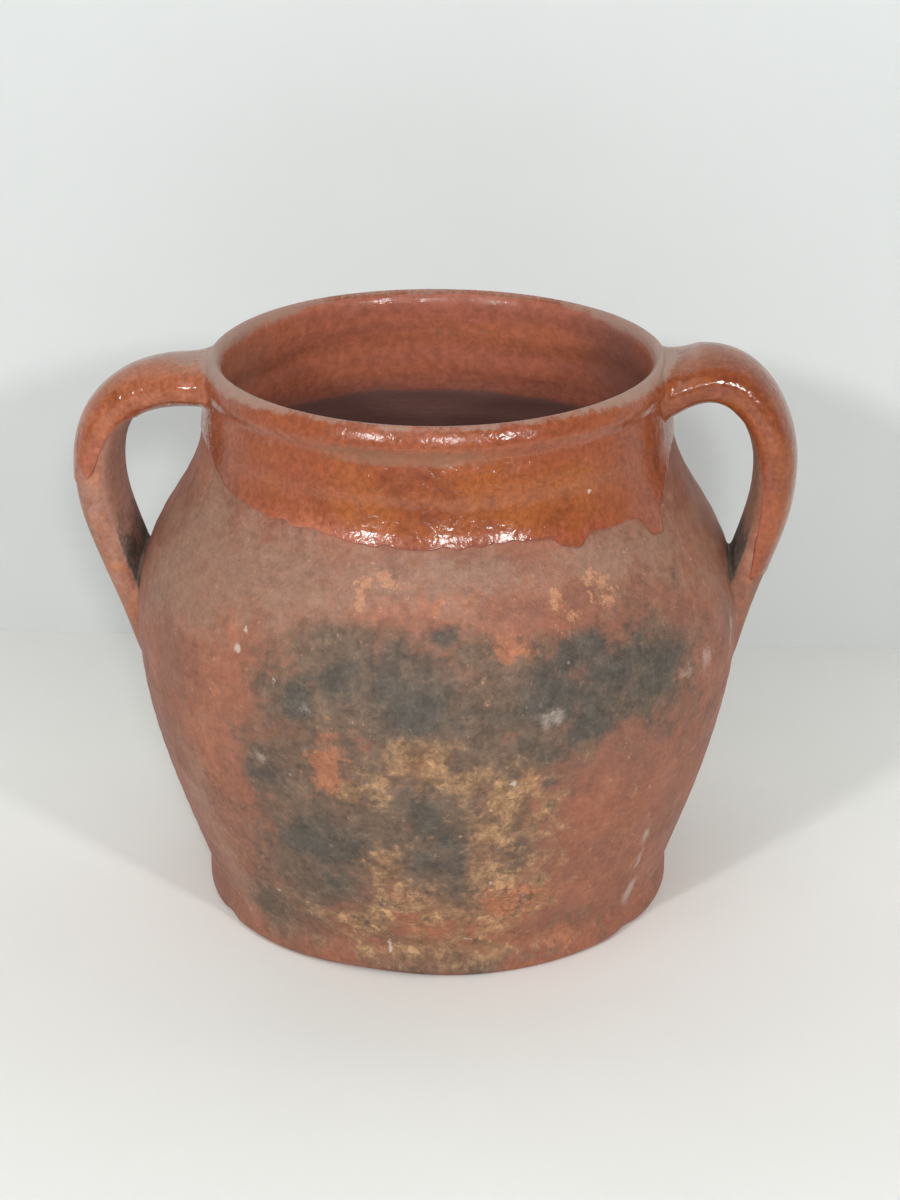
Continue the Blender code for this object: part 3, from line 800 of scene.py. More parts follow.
def closed_faces(rows, columns, ring):
    """Faces of a grid whose columns close up: its rows close up too in a ring, or each end has a pole."""
    index = np.arange(rows * columns).reshape(rows, columns)
    after = np.roll(index, -1, axis=1)
    if ring:
        below, below_after = np.roll(index, -1, axis=0), np.roll(after, -1, axis=0)
        return np.stack([index, below, below_after, after], axis=-1).reshape(-1, 4).tolist()
    quads = np.stack([index[:-1], index[1:], after[1:], after[:-1]], axis=-1).reshape(-1, 4)
    first, last = rows * columns, rows * columns + 1
    start = np.stack([np.full(columns, first), index[0], after[0]], axis=-1)
    end = np.stack([np.full(columns, last), after[-1], index[-1]], axis=-1)
    return quads.tolist() + start.tolist() + end.tolist()


def points_inward(verts, faces):
    """Whether a closed mesh is inside out: its signed volume, summed over its triangles, is below zero."""
    corners = np.array([face[:3] for face in faces] + [(f[0], f[2], f[3]) for f in faces if len(f) == 4])
    a, b, c = (verts[corners[:, i]] for i in range(3))
    return (a * np.cross(b, c)).sum() < 0


def piece_from_grid(name, points, material, nodes, paint, ring=False):
    """Puts a grid of points into a closed mesh with painted values, and stands it in for CAD nodes."""
    points = settle(points)
    rows, columns = points.shape[:2]
    verts = points.reshape(-1, 3)
    if not ring:
        verts = np.concatenate([verts, points[0].mean(axis=0)[None], points[-1].mean(axis=0)[None]])
    faces = closed_faces(rows, columns, ring)
    if points_inward(verts, faces):
        faces = [face[::-1] for face in faces]
    mesh = bpy.data.meshes.new(name)
    mesh.from_pydata(verts, [], faces)
    mesh.shade_smooth()
    for label, values in paint.items():
        flat = np.broadcast_to(values, (rows, columns)).reshape(-1)
        if not ring:
            flat = np.concatenate([flat, [flat[:columns].mean(), flat[-columns:].mean()]])
        layer = mesh.attributes.new(label, "FLOAT", "POINT")
        layer.data.foreach_set("value", flat.astype(np.float32))
    mesh.materials.append(material)
    piece = bpy.data.objects.new(name, mesh)
    bpy.context.scene.collection.objects.link(piece)
    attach(piece, "root")
    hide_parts(*nodes)


# Shader nodes


class Nodes:
    """A node tree that is being filled, and the coordinates that its patterns follow."""

    def __init__(self, tree, coords=None):
        self.tree = tree
        self.coords = coords

    def put(self, value, socket):
        """Links an output to a socket, or sets the socket to a plain value."""
        if isinstance(value, bpy.types.NodeSocket):
            self.tree.links.new(value, socket)
        else:
            socket.default_value = value

    def add(self, kind, inputs=None, **settings):
        """Adds a shader node, sets its options, then sets or links its inputs."""
        made = self.tree.nodes.new(kind)
        for key, value in settings.items():
            setattr(made, key, value)
        for key, value in (inputs or {}).items():
            self.put(value, made.inputs[key])
        return made

    def maths(self, operation, a, b=0.0):
        return self.add("ShaderNodeMath", {0: a, 1: b}, operation=operation).outputs[0]

    def times(self, a, b):
        return self.maths("MULTIPLY", a, b)

    def less(self, a, b):
        return self.maths("SUBTRACT", a, b)

    def most(self, a, b):
        return self.maths("MAXIMUM", a, b)

    def plus(self, total, *values):
        for value in values:
            total = self.maths("ADD", total, value)
        return total

    def between(self, value, low, high, start=0.0, stop=1.0):
        """A value eased from start to stop as it goes from low to high."""
        inputs = {"Value": value, "From Min": low, "From Max": high, "To Min": start, "To Max": stop}
        return self.add("ShaderNodeMapRange", inputs, interpolation_type="SMOOTHSTEP").outputs["Result"]

    def noise(self, scale, detail=4.0, roughness=0.55, distortion=0.0, stretch=None):
        """Noise on the coordinates, which may be stretched along each axis first."""
        coords = self.coords
        if stretch:
            coords = self.add("ShaderNodeMapping", {"Vector": coords, "Scale": stretch}).outputs["Vector"]
        inputs = {"Vector": coords, "Scale": scale, "Detail": detail, "Roughness": roughness}
        return self.add("ShaderNodeTexNoise", {**inputs, "Distortion": distortion}).outputs["Fac"]

    def group(self, build, **inputs):
        """Places a shared group on the same coordinates, built the first time that it is used."""
        tree = bpy.data.node_groups.get(build.__name__) or build()
        return self.add("ShaderNodeGroup", {"Vector": self.coords, **inputs}, node_tree=tree).outputs

    def grains(self, scale, share, size):
        return self.group(specks, Scale=scale, Share=share, Size=size)["Mask"]

    def patch(self, mask, scale, ragged, low, high):
        return self.group(broken_patch, Mask=mask, Scale=scale, Ragged=ragged, Low=low, High=high)["Mask"]

    def painted(self, label, *edge):
        """A value painted on the mesh, made a patch by its scale, raggedness and levels."""
        value = self.add("ShaderNodeAttribute", attribute_name=label, attribute_type="GEOMETRY")
        return self.patch(value.outputs["Fac"], *edge)

    def layered(self, amount, under, over, mode="MIX"):
        """A colour laid over another by an amount."""
        under, over = (c if isinstance(c, bpy.types.NodeSocket) else (*c, 1.0) for c in (under, over))
        inputs = {0: amount, 6: under, 7: over}
        return self.add("ShaderNodeMix", inputs, data_type="RGBA", blend_type=mode).outputs[2]

    def cover(self, colour, mask, share, over):
        return self.layered(self.times(mask, share), colour, over)

    def cover_painted(self, colour, rows):
        """Colours laid one over another where the mesh is painted, and the masks that they follow.

        Each row is a label, the scale and raggedness of its edge, its two levels, a share and a colour.
        """
        masks = {}
        for label, scale, ragged, low, high, share, over in rows:
            masks[label] = self.painted(label, scale, ragged, low, high)
            colour = self.cover(colour, masks[label], share, over)
        return colour, masks

    def shaded(self, colour, shade):
        """A colour made darker or lighter by a value about one."""
        grey = self.add("ShaderNodeCombineColor", {"Red": shade, "Green": shade, "Blue": shade})
        return self.layered(1.0, colour, grey.outputs["Color"], "MULTIPLY")


def new_group(build, inputs, *outputs):
    """An empty group named for its builder, with coordinates and values going in and values coming out."""
    tree = bpy.data.node_groups.new(build.__name__, "ShaderNodeTree")
    tree.interface.new_socket("Vector", in_out="INPUT", socket_type="NodeSocketVector")
    for label, default in inputs.items():
        socket = tree.interface.new_socket(label, in_out="INPUT", socket_type="NodeSocketFloat")
        socket.default_value = default
    for label in outputs:
        tree.interface.new_socket(label, in_out="OUTPUT", socket_type="NodeSocketFloat")
    given = tree.nodes.new("NodeGroupInput").outputs
    return Nodes(tree, given["Vector"]), given, tree.nodes.new("NodeGroupOutput").inputs


def broken_patch():
    """A painted mask with a ragged edge: the mask plus coarse and fine noise, cut between two levels."""
    inputs = {"Mask": 0.0, "Scale": 100.0, "Ragged": 1.0, "Low": 0.3, "High": 0.7}
    nodes, given, out = new_group(broken_patch, inputs, "Mask")
    coarse = nodes.less(nodes.noise(given["Scale"], 5.0, 0.62), 0.5)
    fine = nodes.less(nodes.noise(nodes.times(given["Scale"], 4.3), 4.0, 0.65), 0.5)
    ragged = nodes.times(nodes.plus(coarse, nodes.times(fine, 0.55)), given["Ragged"])
    nodes.put(nodes.between(nodes.plus(given["Mask"], ragged), given["Low"], given["High"]), out["Mask"])
    return nodes.tree


def cells(nodes, coords, scale):
    """Voronoi cells: the distance from each one's middle, and a value of its own."""
    made = nodes.add("ShaderNodeTexVoronoi", {"Vector": coords, "Scale": scale}).outputs
    return made["Distance"], nodes.add("ShaderNodeSeparateColor", {"Color": made["Color"]}).outputs["Red"]


def specks():
    """Scattered grains: cells whose own value is under a share, shown as small round spots."""
    nodes, given, out = new_group(specks, {"Scale": 300.0, "Share": 0.1, "Size": 0.3}, "Mask")
    distance, pick = cells(nodes, nodes.coords, given["Scale"])
    chosen = nodes.maths("LESS_THAN", pick, given["Share"])
    nodes.put(nodes.times(chosen, nodes.between(distance, given["Size"], 0.0)), out["Mask"])
    return nodes.tree


def scales():
    """Blocky scale: cells that each stand at their own height, with gaps between, on shaken coordinates."""
    nodes, given, out = new_group(scales, {"Scale": 240.0}, "Height")
    wave = nodes.add("ShaderNodeTexNoise", {"Vector": nodes.coords, "Scale": 300.0, "Detail": 4.0})
    reach = {0: wave.outputs["Color"], 1: SCALE_SHAKE, 2: nodes.coords}
    shaken = nodes.add("ShaderNodeVectorMath", reach, operation="MULTIPLY_ADD").outputs["Vector"]
    inputs = {"Vector": shaken, "Scale": given["Scale"]}
    to_edge = nodes.add("ShaderNodeTexVoronoi", inputs, feature="DISTANCE_TO_EDGE").outputs["Distance"]
    solid = nodes.between(to_edge, 0.0, 0.16, 0.30, 1.0)
    nodes.put(nodes.times(solid, cells(nodes, shaken, given["Scale"])[1]), out["Height"])
    return nodes.tree


def wheel_lines():
    """Fine lines left by turning: noise drawn out round the pot and squeezed along its height."""
    nodes, _, out = new_group(wheel_lines, {}, "Lines")
    fine = nodes.noise(1.0, 3.0, 0.6, stretch=(14.0, 14.0, 620.0))
    wide = nodes.noise(1.0, 3.0, 0.6, stretch=(9.0, 9.0, 170.0))
    nodes.put(nodes.times(nodes.plus(fine, wide), 0.5), out["Lines"])
    return nodes.tree


def glaze_skin():
    """Surface of a fired glaze: orange-peel waves, finer ripples and pinholes."""
    nodes, given, out = new_group(glaze_skin, {"Scale": 330.0}, "Height", "Pinholes")
    waves = nodes.noise(given["Scale"], 2.0, 0.5, 0.6)
    ripples = nodes.noise(nodes.times(given["Scale"], 2.6), 2.0, 0.5)
    holes = nodes.grains(620.0, 0.10, 0.34)
    skin = nodes.plus(waves, nodes.times(ripples, 0.22))
    nodes.put(nodes.less(skin, nodes.times(holes, 0.35)), out["Height"])
    nodes.put(holes, out["Pinholes"])
    return nodes.tree


def new_material(name):
    """A material, its nodes on the object's own coordinates, and its shader."""
    made = bpy.data.materials.new(name)
    made.use_nodes = True
    nodes = Nodes(made.node_tree)
    nodes.coords = nodes.add("ShaderNodeTexCoord").outputs["Object"]
    return made, nodes, made.node_tree.nodes["Principled BSDF"]


def finish(nodes, shader, colour, roughness, height, depth):
    """Links a colour, a roughness and a bump height to the shader."""
    bump = nodes.add("ShaderNodeBump", {"Height": height, "Distance": depth, "Strength": 1.0})
    nodes.put(colour, shader.inputs["Base Color"])
    nodes.put(roughness, shader.inputs["Roughness"])
    nodes.put(bump.outputs["Normal"], shader.inputs["Normal"])


def smoked_clay(colours):
    """Bare red clay under dust, a mottled veil of smoke, scorched ochre, orange flashes, soot and chips. The
    scale flakes carry painted shade and light, and on the straps some layers carry painted light and painted
    shade.
    """
    made, nodes, shader = new_material("smoked_clay")
    lines = nodes.group(wheel_lines)["Lines"]
    tone = nodes.between(nodes.noise(38.0, 6.0, 0.62), 0.36, 0.64)
    scorch = nodes.between(nodes.noise(120.0, 5.0, 0.65), 0.38, 0.60)
    colour = nodes.layered(tone, colours.clay_deep, colours.clay)
    colour, masks = nodes.cover_painted(colour, (
        ("dust_and_light", 75.0, 1.6, 0.10, 0.80, 0.80, colours.dust_and_light),
        ("clean_and_lit", 120.0, 1.2, 0.15, 0.85, 0.80, colours.pale_and_lit_clay),
        ("smoke_and_shade", 60.0, 1.3, 0.25, 0.85, 0.92, colours.smoke_and_shade),
        ("ochre", 120.0, 2.0, 0.20, 0.86, 0.86, nodes.layered(scorch, colours.scorch, colours.ochre)),
        ("ember_and_light", 190.0, 1.9, 0.30, 0.68, 0.80, colours.ember_and_light),
        ("flash", 260.0, 2.8, 0.42, 0.72, 0.85, colours.flash),
    ))
    ochre = masks["ochre"]
    scabs = nodes.patch(nodes.times(ochre, 0.40), 170.0, 2.6, 0.48, 0.88)
    soot = nodes.painted("soot", 95.0, 1.7, 0.16, 0.90)
    colour = nodes.cover(colour, nodes.most(soot, nodes.times(scabs, 0.70)), 0.90, colours.soot)
    burnt = nodes.most(masks["smoke_and_shade"], soot)
    mottle = nodes.between(nodes.noise(150.0, 7.0, 0.70), 0.32, 0.68, -0.22, 0.24)
    mottle = nodes.times(mottle, nodes.plus(nodes.times(burnt, 0.72), 0.28))
    fine_mottle = nodes.between(nodes.noise(430.0, 6.0, 0.74), 0.30, 0.72, -0.18, 0.18)
    streak = nodes.between(lines, 0.34, 0.66, -0.05, 0.05)
    flakes = nodes.group(scales, Scale=235.0)["Height"]
    flaked = nodes.most(ochre, nodes.times(burnt, 0.45))
    # Painted shade and light on the scale: low flakes and the gaps between them darker, high ones lighter
    flake_painted_shade = nodes.times(nodes.between(flakes, 0.0, 1.0, -0.26, 0.30), flaked)
    colour = nodes.shaded(colour, nodes.plus(mottle, fine_mottle, streak, flake_painted_shade, 1.0))
    chips = nodes.painted("bloom_and_sheen", 420.0, 1.5, 0.38, 0.62)
    pale = nodes.most(nodes.times(nodes.grains(230.0, 0.022, 0.22), 0.50), chips)
    colour = nodes.cover(colour, pale, 0.85, colours.bloom_and_sheen)
    colour, _ = nodes.cover_painted(colour, (
        ("haze", 300.0, 1.2, 0.10, 0.80, 0.62, colours.bloom_and_sheen),
        ("worn", 140.0, 1.1, 0.25, 0.80, 0.75, colours.worn),
    ))
    rough = nodes.plus(nodes.between(nodes.noise(70.0), 0.3, 0.7, 0.50, 0.68), nodes.times(burnt, 0.12))
    crust = nodes.times(nodes.noise(260.0, 6.0, 0.65), nodes.plus(burnt, 1.2))
    height = nodes.plus(
        nodes.times(nodes.noise(950.0, 4.0, 0.6), 0.8),
        nodes.times(lines, 0.6),
        nodes.times(crust, 1.5),
        nodes.times(nodes.times(flakes, flaked), 0.7),
        nodes.times(nodes.grains(380.0, 0.14, 0.32), -0.5),
    )
    finish(nodes, shader, colour, rough, height, 0.00032)
    return made


def honey_glaze(colours):
    """Honey-brown glaze, darker in patches and thin to red, with bubbles, grime, an edge and a rubbed crest.
    It also carries painted reflection strips and sheen on the neck, painted light on the left strap and the
    neck's lower left edge, and painted shade on the right strap.
    """
    made, nodes, shader = new_material("honey_glaze")
    skin = nodes.group(glaze_skin, Scale=300.0)
    deepening = nodes.between(nodes.noise(55.0), 0.28, 0.60)
    colour, first = nodes.cover_painted(nodes.layered(deepening, colours.deep_glaze, colours.honey), (
        ("thin", 85.0, 1.6, 0.20, 0.85, 0.85, colours.red_glaze),
        ("clean_and_lit", 110.0, 1.4, 0.15, 0.85, 0.75, colours.pale_and_lit_glaze),
        ("deepening", 150.0, 1.3, 0.35, 0.75, 0.70, colours.deep_glaze),
    ))
    colour = nodes.shaded(colour, nodes.between(nodes.noise(520.0, 4.0, 0.65), 0.30, 0.70, 0.80, 1.20))
    colour, then = nodes.cover_painted(colour, (
        ("grime", 210.0, 1.3, 0.12, 1.00, 0.72, colours.grime),
        ("edge", 260.0, 0.7, 0.35, 0.85, 0.80, colours.glaze_edge),
        ("worn", 190.0, 1.2, 0.30, 0.85, 0.75, colours.worn),
    ))
    colour = nodes.cover(colour, nodes.grains(270.0, 0.26, 0.46), 0.30, colours.pale_and_lit_glaze)
    colour = nodes.cover(colour, nodes.painted("bloom_and_sheen", 420.0, 1.2, 0.40, 0.62), 0.90, colours.bloom_and_sheen)
    colour = nodes.cover(colour, skin["Pinholes"], 0.45, colours.deep_glaze)
    dull = nodes.most(nodes.times(then["grime"], 0.22), nodes.times(then["worn"], 0.22))
    dull = nodes.most(dull, nodes.times(first["thin"], 0.05))
    rough = nodes.plus(nodes.between(nodes.noise(120.0), 0.35, 0.68, 0.13, 0.21), dull)
    finish(nodes, shader, colour, rough, skin["Height"], 0.00026)
    return made


def lining_glaze(colours):
    """Satin red-brown inside glaze in turned bands, darker towards the bottom, with painted shade on the
    right side and pale pink painted highlights.
    """
    made, nodes, shader = new_material("lining_glaze")
    lines = nodes.group(wheel_lines)["Lines"]
    skin = nodes.group(glaze_skin, Scale=260.0)
    band = nodes.between(nodes.noise(1.0, 3.0, stretch=(7.0, 7.0, 75.0)), 0.38, 0.62)
    colour = nodes.layered(band, colours.lining_red, colours.lining)
    colour = nodes.shaded(colour, nodes.between(nodes.noise(330.0, 5.0, 0.65), 0.30, 0.72, 0.84, 1.18))
    colour, masks = nodes.cover_painted(colour, (
        # Darker towards the bottom, and painted shade on the right side
        ("darkening_and_shade", 90.0, 0.35, 0.10, 0.95, 0.94, colours.lining_dark),
        # Pale pink painted highlights
        ("rosy_highlight", 90.0, 1.2, 0.25, 0.85, 0.30, colours.worn),
        ("worn", 190.0, 1.2, 0.30, 0.85, 0.75, colours.worn),
    ))
    dull = nodes.times(nodes.most(masks["darkening_and_shade"], masks["worn"]), 0.22)
    rough = nodes.plus(nodes.between(nodes.noise(90.0), 0.35, 0.68, 0.20, 0.36), dull)
    shader.inputs["Specular IOR Level"].default_value = 0.36
    finish(nodes, shader, colour, rough, nodes.plus(skin["Height"], nodes.times(lines, 1.2)), 0.00020)
    return made


def shared(build, colours):
    """A finish that several pieces share, made the first time that it is asked for."""
    return bpy.data.materials.get(build.__name__) or build(colours)


# Pieces


def rubbed(points):
    """Rubbing on the crest, wider and stronger by the handles, and on the saddles where the handles spring.
    The gain by the handles is partly painted sheen, where the crest catches light at a grazing angle.

    The crest's band fades as a bell with the drop from the top, and each saddle is a bell about its middle.
    """
    x, y, z = np.moveaxis(points, -1, 0)
    out = np.hypot(x, y)
    side = smooth((np.abs(x) / out.clip(1e-6) - 0.45) / 0.5)
    on_lip = smooth((out - LIP_RADIUS + LIP_WIDTH) / 0.002) * (1 - smooth((out - BEAD_RADIUS) / 0.003))
    crest = (CREST_RUB[0] + CREST_RUB[1] * side) * bell((HEIGHT - z) / (CREST_DROP[0] + CREST_DROP[1] * side))
    wide, across, tall = SADDLE_REACH
    saddle = bell((np.abs(x) - SADDLE[0]) / wide) * bell((z - SADDLE[1]) / tall) * bell(y / across)
    return np.maximum(crest * on_lip, np.where(x < 0, *SADDLE_RUB) * saddle)


class CLAYPOT_OT_body(bpy.types.Operator):
    """Throw the body: wall, floor, lip and base as one closed surface with its fire marks"""

    bl_idname = "claypot.body"
    bl_label = "Thrown body"

    def execute(self, context):
        pot = context.scene.clay_pot
        theta = turn_angles(TURN_COLUMNS)
        inner_r, inner_z = inner_profile(theta, pot.sizes, HIDDEN_ROWS)
        outer_r, outer_z = outer_profile(theta, pot.sizes)
        z = np.concatenate([inner_z[:-1], outer_z])
        points = around(np.concatenate([inner_r[:-1], outer_r]), theta, z)
        outside = (np.arange(len(z)) >= len(inner_z) - 1)[:, None]
        paint = {label: outside * marks_on(theta, z, marks) for label, marks in WALL_MARKS.items()}
        paint["worn"] = rubbed(points)
        piece_from_grid("pot_body", points, shared(smoked_clay, pot.colours), ["thrown_body"], paint)
        return {"FINISHED"}


def collar_edge(theta):
    """Height of the glaze's lower edge: tilted, uneven, raised beside the handles and lowered by drips."""
    edge = COLLAR_EDGE - COLLAR_TILT * np.cos(theta) + COLLAR_WANDER * wander(theta, 5, 90, fade=0.35)
    for azimuth, half_width, rise in COLLAR_GAPS:
        edge = edge + rise * fan(theta, azimuth, half_width)
    for azimuth, half_width, drop in COLLAR_DRIPS:
        edge = edge - drop * fan(theta, azimuth, half_width)
    return edge


class CLAYPOT_OT_collar(bpy.types.Operator):
    """Dip the neck: outside glaze from the worn crest to a rolled, dripping lower edge"""

    bl_idname = "claypot.collar"
    bl_label = "Neck glaze"

    def execute(self, context):
        pot = context.scene.clay_pot
        sizes = pot.sizes
        theta = turn_angles(COLLAR_COLUMNS)
        over = np.pi / 2 + COLLAR_OVER
        lip_r, lip_z = lip_rows(over, 0.0, COLLAR_LIP_ROWS)
        lip_start = smooth(even_rows(0.0, over / COLLAR_THICKENING, COLLAR_LIP_ROWS))
        edge = collar_edge(theta)
        wall_z = LIP_Z + (edge - LIP_Z) * even_rows(0.0, 1.0, COLLAR_ROWS)[1:] ** 0.85
        radius = stacked(lip_r, body_radius(theta[None], wall_z, sizes))
        z = stacked(lip_z, wall_z)
        below = z - edge
        start = stacked(lip_start, np.ones_like(wall_z))
        thickness = sizes.glaze * (1 + 0.30 * swells(theta[None], z, seed=31, reach=0.02))
        thickness = rolled(thickness, sizes.glaze_roll, below, *COLLAR_ROLL) * start - COAT_DIP
        coat_r, coat_z = coat(radius[::-1], z[::-1], thickness[::-1])
        middle = fan(theta, *MIDDLE_PART)
        low = smooth((0.190 - z) / 0.012)
        paint = {
            "grime": bell((z - GRIME_Z) / GRIME_REACH, 4) * (0.10 + 0.80 * fan(theta, *GRIMY_PART)),
            "thin": 0.75 - 0.75 * middle * low * smooth((below - 0.0015) / 0.0065),
            # Paler glaze at the lower left edge of the neck is painted light
            "clean_and_lit": 0.90 * fan(theta, *PALE_LIT_PART, 2) * np.exp(-below / 0.005),
            "deepening": marks_on(theta, z, COLLAR_DARK_PATCHES),
            "edge": bell(below / COLLAR_LINE) * (0.30 + 0.55 * middle),
            "bloom_and_sheen": marks_on(theta, z, COLLAR_CHIPS_AND_SHEEN),
            "worn": marks_on(theta, z, COLLAR_RUBS_AND_SHEEN),
        }
        paint = {label: np.concatenate([value[::-1], value]) for label, value in paint.items()}
        points = around(coat_r, theta, coat_z)
        paint["worn"] = np.maximum(paint["worn"], rubbed(points))
        glaze = shared(honey_glaze, pot.colours)
        piece_from_grid("neck_coat", points, glaze, ["neck_glaze"], paint, ring=True)
        return {"FINISHED"}


def darkening_on(theta, z):
    """Darker inside towards the bottom: a soft browning from one height down, and a crisp line a little below
    it.
    """
    over = z - DARK_LINE_Z - DARK_LINE_WANDER * wander(theta, 29, 20, fade=0.5)
    return 1 - 0.40 * smooth(over / BROWNING) - 0.60 * smooth((over + DARK_LINE_DROP) / DARK_LINE_FADE)


class CLAYPOT_OT_lining(bpy.types.Operator):
    """Pour the lining: inside glaze over the floor and wall, with throwing rings showing through"""

    bl_idname = "claypot.lining"
    bl_label = "Lining glaze"

    def execute(self, context):
        pot = context.scene.clay_pot
        theta = turn_angles(LINING_COLUMNS)
        radius, z = inner_profile(theta, pot.sizes, LINING_ROWS)
        thickness = pot.sizes.glaze * smooth((HEIGHT - z) / LINING_THICKENING) - COAT_DIP
        coat_r, coat_z = coat(radius, z, thickness)
        points = around(coat_r, theta, coat_z)
        paint = {
            # Darker towards the bottom, and painted shade on the right side inside
            "darkening_and_shade": np.maximum(darkening_on(theta, coat_z), marks_on(theta, coat_z, PAINTED_SHADE_INSIDE)),
            "rosy_highlight": marks_on(theta, coat_z, ROSY_HIGHLIGHTS),
            "worn": rubbed(points),
        }
        glaze = lining_glaze(pot.colours)
        piece_from_grid("inside_coat", points, glaze, ["lining_glaze"], paint)
        return {"FINISHED"}


class CLAYPOT_OT_handles(bpy.types.Operator):
    """Pull the straps: both handles with the luting slip smoothed into fillets at rim and belly"""

    bl_idname = "claypot.handles"
    bl_label = "Strap handles"

    def execute(self, context):
        pot = context.scene.clay_pot
        clay = shared(smoked_clay, pot.colours)
        for name, shape in HANDLES.items():
            points, run, phi = strap_grid(shape, pot.sizes)
            pale = shape["pale"]
            finger_side = smooth((-np.sin(phi) - 0.34) / 0.24)
            share = run / run.max()
            low = smooth((share - 0.55) / 0.3)
            free = 1 - smooth((share - 0.80) / 0.15)
            paint = {
                "soot": 0.84 * finger_side * smooth((share - 0.55) / 0.15),
                # The brown veil low on the finger side is painted shade under the strap
                "smoke_and_shade": 0.30 * finger_side * low,
                # Extra dust on the finger side is painted light on that shaded face
                "dust_and_light": (0.30 + 0.55 * finger_side) * free,
                # The clean share, raised on the left strap and on the finger side, is painted light
                "clean_and_lit": (0.05 + pale * (1 + 1.1 * finger_side)) * (1 - 0.7 * finger_side * low) * free,
                # Orange on the outer face, more on the left strap as painted light
                "ember_and_light": (0.22 + 0.40 * pale + 0.10 * low) * (1 - finger_side) * free,
                "worn": rubbed(points),
            }
            stands_for = [f"{name}_handle", f"{name}_rim_slip", f"{name}_belly_slip"]
            piece_from_grid(f"{name}_strap", points, clay, stands_for, paint)
        return {"FINISHED"}


class CLAYPOT_OT_handle_glaze(bpy.types.Operator):
    """Glaze the straps: a coat over the upper part of each handle with an uneven end"""

    bl_idname = "claypot.handle_glaze"
    bl_label = "Handle glaze"

    def execute(self, context):
        pot = context.scene.clay_pot
        glaze = shared(honey_glaze, pot.colours)
        for name, shape in HANDLES.items():
            points, to_end, outside = sleeve_grid(shape, pot.sizes)
            paint = {
                "thin": 0.30 + 0.4 * (1 - outside) + 0.5 * np.exp(-to_end / 0.012),
                # The left strap's paler glaze is painted light
                "clean_and_lit": shape["pale"],
                # Deeper glaze up the strap; the right strap's larger share is painted shade
                "deepening": shape["deepening"] + 0.20 * smooth((to_end - 0.035) / 0.02),
                "edge": 0.5 * bell(to_end / SLEEVE_LINE),
                "worn": rubbed(points),
            }
            stands_for = [f"{name}_handle_glaze"]
            piece_from_grid(f"{name}_strap_coat", points, glaze, stands_for, paint, ring=True)
        return {"FINISHED"}


# Stage


def stage_plane(name, corners, material):
    mesh = bpy.data.meshes.new(name)
    mesh.from_pydata(corners, [], [(0, 1, 2, 3)])
    mesh.materials.append(material)
    plane = bpy.data.objects.new(name, mesh)
    bpy.context.scene.collection.objects.link(plane)


def stage_material(name, colour):
    """A plain matt surface with a faint change of tone."""
    made, nodes, shader = new_material(name)
    tone = nodes.between(nodes.noise(9.0, 3.0), 0.3, 0.7, 0.98, 1.0)
    nodes.put(nodes.shaded(colour, tone), shader.inputs["Base Color"])
    shader.inputs["Roughness"].default_value = 0.8
    return made, nodes, shader


def backdrop_material(colour):
    """A matt backdrop that shows only its front, so that the pot can be seen from behind it."""
    made, nodes, shader = stage_material("pale_backdrop", colour)
    behind = nodes.add("ShaderNodeNewGeometry").outputs["Backfacing"]
    clear = nodes.add("ShaderNodeBsdfTransparent").outputs["BSDF"]
    mixed = nodes.add("ShaderNodeMixShader", {0: behind, 1: shader.outputs["BSDF"], 2: clear})
    nodes.put(mixed.outputs["Shader"], made.node_tree.nodes["Material Output"].inputs["Surface"])
    return made


def lamp(name, power, size, place):
    """A round area lamp at a place, turned to face the pot."""
    data = bpy.data.lights.new(name, "AREA")
    data.shape = "DISK"
    data.size = size
    data.energy = power
    made = bpy.data.objects.new(name, data)
    made.location = place
    x, y, z = np.subtract(LAMP_AIM, place)
    made.rotation_euler = (math.atan2(math.hypot(x, y), -z), 0.0, math.atan2(-x, y))
    bpy.context.scene.collection.objects.link(made)


def soft_room(stage):
    """A world lit from the sides more than from above, and less from the front and the right."""
    world = bpy.data.worlds.new("soft_room")
    world.use_nodes = True
    nodes = Nodes(world.node_tree)
    direction = nodes.add("ShaderNodeTexCoord").outputs["Generated"]
    axes = nodes.add("ShaderNodeSeparateXYZ", {"Vector": direction}).outputs
    height = nodes.between(axes["Z"], 0.0, 0.7, stage.horizon, stage.sky)
    front = nodes.between(axes["Y"], -0.7, 0.3, stage.front_share, 1.0)
    right = nodes.between(axes["X"], -0.4, 0.8, 1.0, stage.right_share)
    sky = world.node_tree.nodes["Background"].inputs
    sky["Color"].default_value = SKY_TINT
    nodes.put(nodes.times(nodes.times(height, front), right), sky["Strength"])
    return world


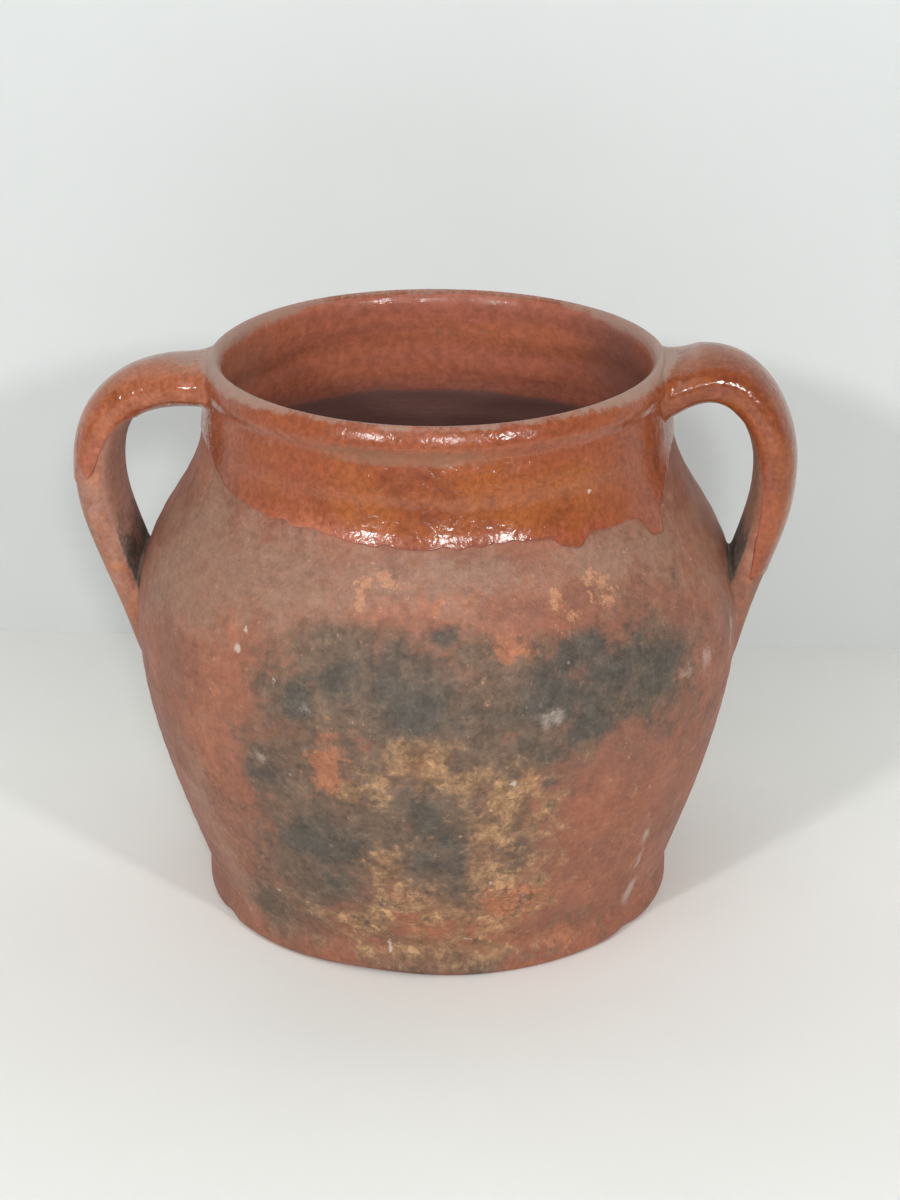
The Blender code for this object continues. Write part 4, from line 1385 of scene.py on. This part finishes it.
class CLAYPOT_OT_stage(bpy.types.Operator):
    """Set the stage: pale floor and backdrop, soft light, and the camera at the photograph's angle"""

    bl_idname = "claypot.stage"
    bl_label = "Stage"

    def execute(self, context):
        scene = context.scene
        stage = scene.clay_pot.stage
        reach, back = stage.stage_reach, stage.wall_distance
        floor = [(-reach, -reach, 0.0), (reach, -reach, 0.0), (reach, reach, 0.0), (-reach, reach, 0.0)]
        wall = [(-reach, back, 0.0), (reach, back, 0.0), (reach, back, reach), (-reach, back, reach)]
        stage_plane("floor", floor, stage_material("pale_floor", stage.floor)[0])
        stage_plane("backdrop", wall, backdrop_material(stage.wall))
        for name, azimuth, elevation, share in FRONT_LAMPS:
            turn = math.radians(azimuth) + CAMERA_TURN
            rise = math.radians(elevation)
            away = (math.cos(rise) * math.sin(turn), -math.cos(rise) * math.cos(turn), math.sin(rise))
            place = np.array(LAMP_AIM) + stage.lamp_distance * np.array(away)
            lamp(name, stage.lamp_power * share, stage.lamp_size, place)
        lamp("top_lamp", stage.top_power, TOP_LAMP_SIZE, TOP_LAMP_PLACE)
        scene.world = soft_room(stage)
        view = bpy.data.cameras.new("photo_view")
        view.lens = CAMERA_LENS
        view.sensor_width = SENSOR
        camera = bpy.data.objects.new("photo_view", view)
        camera.location = CAMERA_PLACE
        camera.rotation_euler = (math.pi / 2 - CAMERA_PITCH, 0.0, CAMERA_TURN)
        scene.collection.objects.link(camera)
        scene.camera = camera
        scene.view_settings.view_transform = "Standard"
        return {"FINISHED"}


OPERATORS = (
    CLAYPOT_OT_body,
    CLAYPOT_OT_collar,
    CLAYPOT_OT_lining,
    CLAYPOT_OT_handles,
    CLAYPOT_OT_handle_glaze,
    CLAYPOT_OT_stage,
)


class CLAYPOT_PT_panel(bpy.types.Panel):
    """Lists the pieces and the settings that shape them"""

    bl_idname = "CLAYPOT_PT_panel"
    bl_label = "Clay pot"
    bl_space_type = "VIEW_3D"
    bl_region_type = "UI"
    bl_category = "Clay pot"

    def draw(self, context):
        pot = context.scene.clay_pot
        for operator in OPERATORS:
            self.layout.operator(operator.bl_idname)
        for settings in (pot.sizes, pot.colours, pot.stage):
            box = self.layout.box()
            for key in settings.__annotations__:
                box.prop(settings, key)


CLASSES = (ClayPotSizes, ClayPotColours, ClayPotStage, ClayPot, *OPERATORS, CLAYPOT_PT_panel)


def register():
    for item in CLASSES:
        bpy.utils.register_class(item)
    bpy.types.Scene.clay_pot = bpy.props.PointerProperty(type=ClayPot)


def unregister():
    del bpy.types.Scene.clay_pot
    for item in reversed(CLASSES):
        bpy.utils.unregister_class(item)


def main():
    register()
    bpy.ops.claypot.body()
    bpy.ops.claypot.collar()
    bpy.ops.claypot.lining()
    bpy.ops.claypot.handles()
    bpy.ops.claypot.handle_glaze()
    bpy.ops.claypot.stage()


if __name__ == "__main__":
    main()
